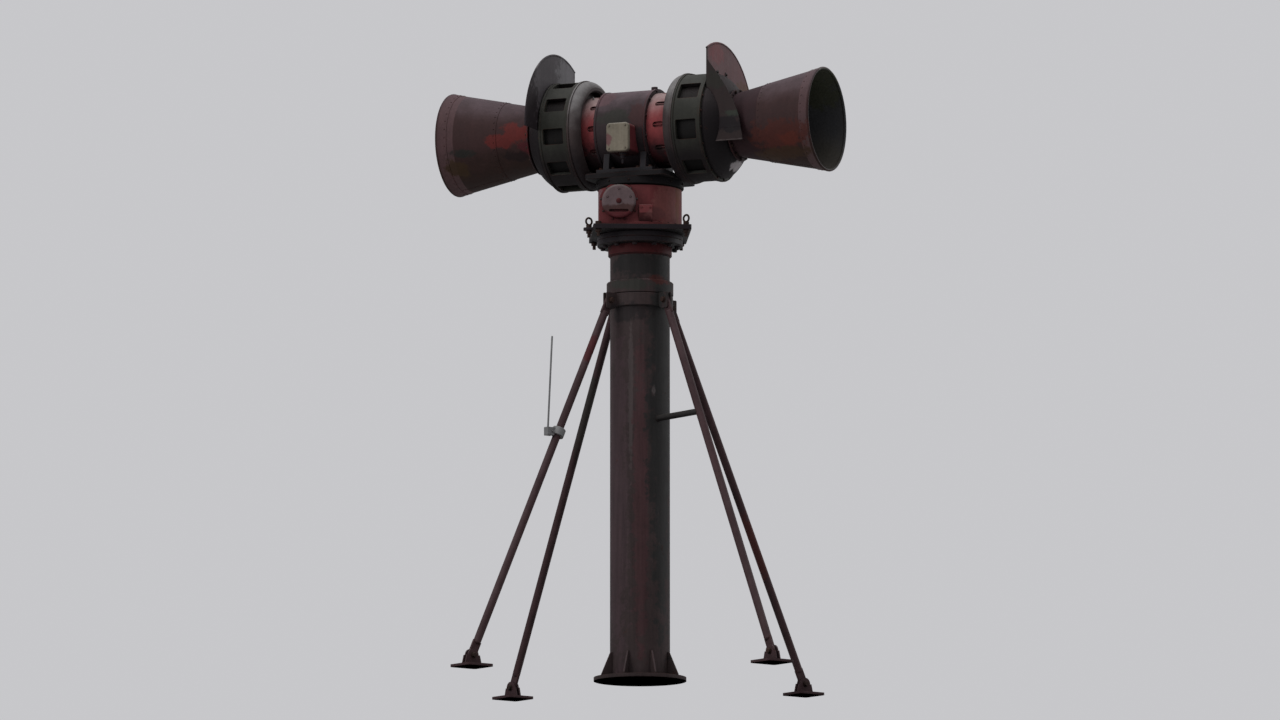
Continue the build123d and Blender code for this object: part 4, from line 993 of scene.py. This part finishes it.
# %% Make the clamp and its lugs
LUG = [(0.172, 0), (0.243, 0), (0.247, 0.004), (0.247, 0.084), (0.243, 0.088), (0.2017, 0.088),
       (0.172, 0.072)]
parts = []
for _, (_, aside) in pins.values():
    out = aside.cross(UP)
    for turn in (1, -1):
        outline = [out * radius + aside * turn * LUG_GAP + UP * (CLAMP_TOP - drop) for radius, drop in LUG]
        parts.append(cut_plate("lug", outline, aside * turn * LUG_SHEET))
parts.append(mast_ring("clamp_ring", plain_outline(0.179, RING_RISE), CLAMP_TOP))
clamp = joined("clamp_with_lugs", parts)
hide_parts("leg_clamp")
keep(clamp, "mast", "mast_paint", mast_paint)

# %% Make the legs
LEG_RADIUS = 0.0211
LEG_NECK = 0.017
LEG_TAPER = 0.006
TONGUE_HALF = 0.025
TONGUE_SHEET = 0.014
TONGUE_REACH = 0.086
BARE = 0.070


def tongue(pin, along, aside):
    """The flattened end of a leg, round at its pin."""
    across = along.cross(aside).normalized()
    outline = []
    for turn in range(90, 271, 20):
        outline.append(pin + (along * cos(radians(turn)) + across * sin(radians(turn))) * TONGUE_HALF)
    for half in (-TONGUE_HALF, TONGUE_HALF):
        outline.append(pin + along * TONGUE_REACH + across * half)
    outline = [point - aside * TONGUE_SHEET / 2 for point in outline]
    return cut_plate("tongue", outline, aside * TONGUE_SHEET)


for corner, ((foot_pin, foot_aside), (top_pin, top_aside)) in pins.items():
    along = (top_pin - foot_pin).normalized()
    length = (top_pin - foot_pin).length - 2 * BARE
    barrel = [(TIP, 0), (LEG_NECK, 0), (LEG_RADIUS, LEG_TAPER), (LEG_RADIUS, length - LEG_TAPER),
              (LEG_NECK, length), (TIP, length)]
    parts = [tongue(foot_pin, along, foot_aside), tongue(top_pin, -along, top_aside)]
    parts.append(turned_part("pipe", foot_pin + along * BARE, along, barrel, 28))
    leg = joined(f"pinned_leg_{corner}", parts)
    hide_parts(f"leg_{corner}")
    keep(leg, "mast", "leg_paint", leg_paint)

# %% Bolt the pins and strap the rod's clip to its leg
def both_sides(point, aside, distance):
    """Places for two bolts that face away from each other across a point."""
    return [(point + aside * turn * distance, aside * turn) for turn in (1, -1)]


places = []
for corner in pins:
    for pin, aside in pins[corner]:
        places += both_sides(pin, aside, LUG_GAP + LUG_SHEET)
scatter("leg_pins", bolt, places, 0.036, "mast", "rusty_steel", rusty)
clip_low, clip_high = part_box("rod_clamp")
clip_middle = (clip_low + clip_high) / 2
CLIP_HALF = 0.018
places = both_sides(clip_middle, sideways(clip_middle), CLIP_HALF)
scatter("rod_clip_screws", bolt, places, 0.014, "mast", "bare_steel", zinc)
(foot_pin, _), (top_pin, _) = pins["near_left"]
along = (top_pin - foot_pin).normalized()
strap_foot = foot_pin + along * ((clip_low.z - FOOT_PIN_HEIGHT) / along.z)
STRAP_BORE = 0.0213
STRAP = [(STRAP_BORE, 0), (0.035, 0), (0.0365, 0.002), (0.0365, 0.042), (0.035, 0.044), (STRAP_BORE, 0.044),
         (STRAP_BORE, 0)]
keep(turned_part("rod_strap", strap_foot, along, STRAP, 32), "mast", "bare_steel", zinc)

# %% [markdown]
# Weld beads close the joints that aren't bolted. A bead is a small half-round outline, spun round the pipe. A
# welder's hand is never quite even, so the corners of the mesh are then moved about a little, from a fixed
# seed.

# %% Lay the weld beads
BRACE_AZIMUTH = -29
BRACE_HEIGHT = 1.413
BRACE_RADIUS = 0.0167
DRUM_RADIUS = 0.227


def weld_bead(name, centre, axis, side, radius, thickness, material, steps=150):
    """A slightly uneven bead round a pipe."""
    line = []
    for turn in range(-80, 100, 32):
        out = radius + thickness * (cos(radians(turn)) - 0.25)
        line.append(centre + side * out + axis * thickness * sin(radians(turn)))
    bead = turned(name, line + line[:1], centre, axis, steps)
    bpy.ops.object.mode_set(mode="EDIT")
    bpy.ops.mesh.select_all(action="SELECT")
    bpy.ops.transform.vertex_random(offset=thickness * 0.16, seed=7)
    keep(bead, "mast", "mast_paint", material)


sleeve_low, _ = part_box("mast_sleeve")
for name, height, radius, thickness, material in (
    ("base_bead", pipe_low.z, PIPE_RADIUS, 0.009, mast_paint),
    ("collar_bead", collar_high.z, PIPE_RADIUS, 0.006, mast_paint),
    ("sleeve_bead", sleeve_low.z, PIPE_RADIUS, 0.006, sleeve_paint),
    ("drum_bead", drum_low.z + DRUM_FOOT, DRUM_RADIUS, 0.005, drum_paint),
):
    weld_bead(name, UP * height, UP, ALONG, radius, thickness, material)
brace_out = round_mast(BRACE_AZIMUTH, 1, 0)
brace_foot = round_mast(BRACE_AZIMUTH, PIPE_RADIUS, BRACE_HEIGHT)
weld_bead("brace_bead", brace_foot, brace_out, UP, BRACE_RADIUS, 0.004, brace_paint, 40)

# %% [markdown]
# Last come the things that aren't part of the object: a floor, the sky behind, the lamps and the camera. The
# camera stands far off and lower than the floor, and looks up. So the floor shows only to a camera above it.

# %% Lay the floor
FLOOR_SIZE = 60
FLOOR_SEEN = screen((222, 222, 222))
FLOOR_BOUNCE = screen((196, 196, 196))
deselect()
bpy.ops.mesh.primitive_plane_add(size=FLOOR_SIZE)
floor = bpy.context.object
floor.name = "floor"
material, tree, finish = new_material("floor_finish", GLOSSY)
finish.inputs["Roughness"].default_value = 0.9
seen = tree.node("ShaderNodeLightPath", output="Is Camera Ray")
link(finish, {"Base Color": seen.blend(FLOOR_BOUNCE, FLOOR_SEEN)})
below = tree.node("ShaderNodeNewGeometry", output="Backfacing")
clear = tree.node("ShaderNodeBsdfTransparent")
pale = Shade(material.node_tree, finish.outputs[0])
mixed = tree.node("ShaderNodeMixShader", None, {0: below, 1: pale, 2: clear})
link(material.node_tree.nodes["Material Output"], {"Surface": mixed})
dress(material, floor)

# %% Set the sky, a little darker as a light than as a backdrop
SKY_SEEN = screen((198, 198, 201))
SKY_LIGHT = screen((162, 162, 164))
world = bpy.data.worlds.new("overcast")
world.use_nodes = True
bpy.context.scene.world = world
tree = Shade(world.node_tree)
direct, mirrored, passed = [tree.node("ShaderNodeLightPath", output=f"Is {ray} Ray")
                            for ray in ("Camera", "Glossy", "Transmission")]
colour = (direct + mirrored + passed).ramp(0.0, 1.0).blend(SKY_LIGHT, SKY_SEEN)
link(world.node_tree.nodes["Background"], {"Color": colour})

# %% Hang the lamps
def hang_lamp(name, place, target, size, power):
    """A large soft lamp that points at a target."""
    lamp = bpy.data.lights.new(name, "AREA")
    lamp.shape = "SQUARE"
    lamp.size = size
    lamp.energy = power
    holder = bpy.data.objects.new(name, lamp)
    bpy.context.scene.collection.objects.link(holder)
    holder.location = place
    holder.rotation_euler = (target - Vector(place)).to_track_quat("-Z", "Y").to_euler()
    holder.visible_camera = False


middle = Vector((0, 0, 2.2))
hang_lamp("top_lamp", (0.5, -1.5, 8.5), middle, size=6.0, power=260)
hang_lamp("near_lamp", (-5.0, -7.5, 4.5), middle, size=4.0, power=260)
hang_lamp("far_lamp", (5.5, 6.5, 5.5), middle, size=4.0, power=200)

# %% Set up the camera, in the photograph's direction and distance
CAMERA_AZIMUTH = radians(23)
CAMERA_RISE = radians(9.8)
CAMERA_DISTANCE = 49.35
PICTURE_HEIGHT = 3.9
PICTURE_SHAPE = 1280 / 720
AIM = Vector((0, 0, 1.75))
lens = bpy.data.cameras.new("camera")
camera = bpy.data.objects.new("camera", lens)
bpy.context.scene.collection.objects.link(camera)
level = Vector((sin(CAMERA_AZIMUTH), -cos(CAMERA_AZIMUTH), 0)) * cos(CAMERA_RISE)
camera.location = SHAFT + (level - UP * sin(CAMERA_RISE)) * CAMERA_DISTANCE
toward = AIM - camera.location
camera.rotation_euler = toward.to_track_quat("-Z", "Y").to_euler()
lens.sensor_width = 36
lens.lens = lens.sensor_width / PICTURE_SHAPE * toward.length / PICTURE_HEIGHT
lens.clip_end = 300
bpy.context.scene.camera = camera
bpy.context.scene.view_settings.view_transform = "Standard"
print("lens", round(lens.lens, 1), "mm")

# %% Put the patterns away, and finish
for pattern in (bolt, rivet, clip, bar):
    bpy.data.objects.remove(pattern)
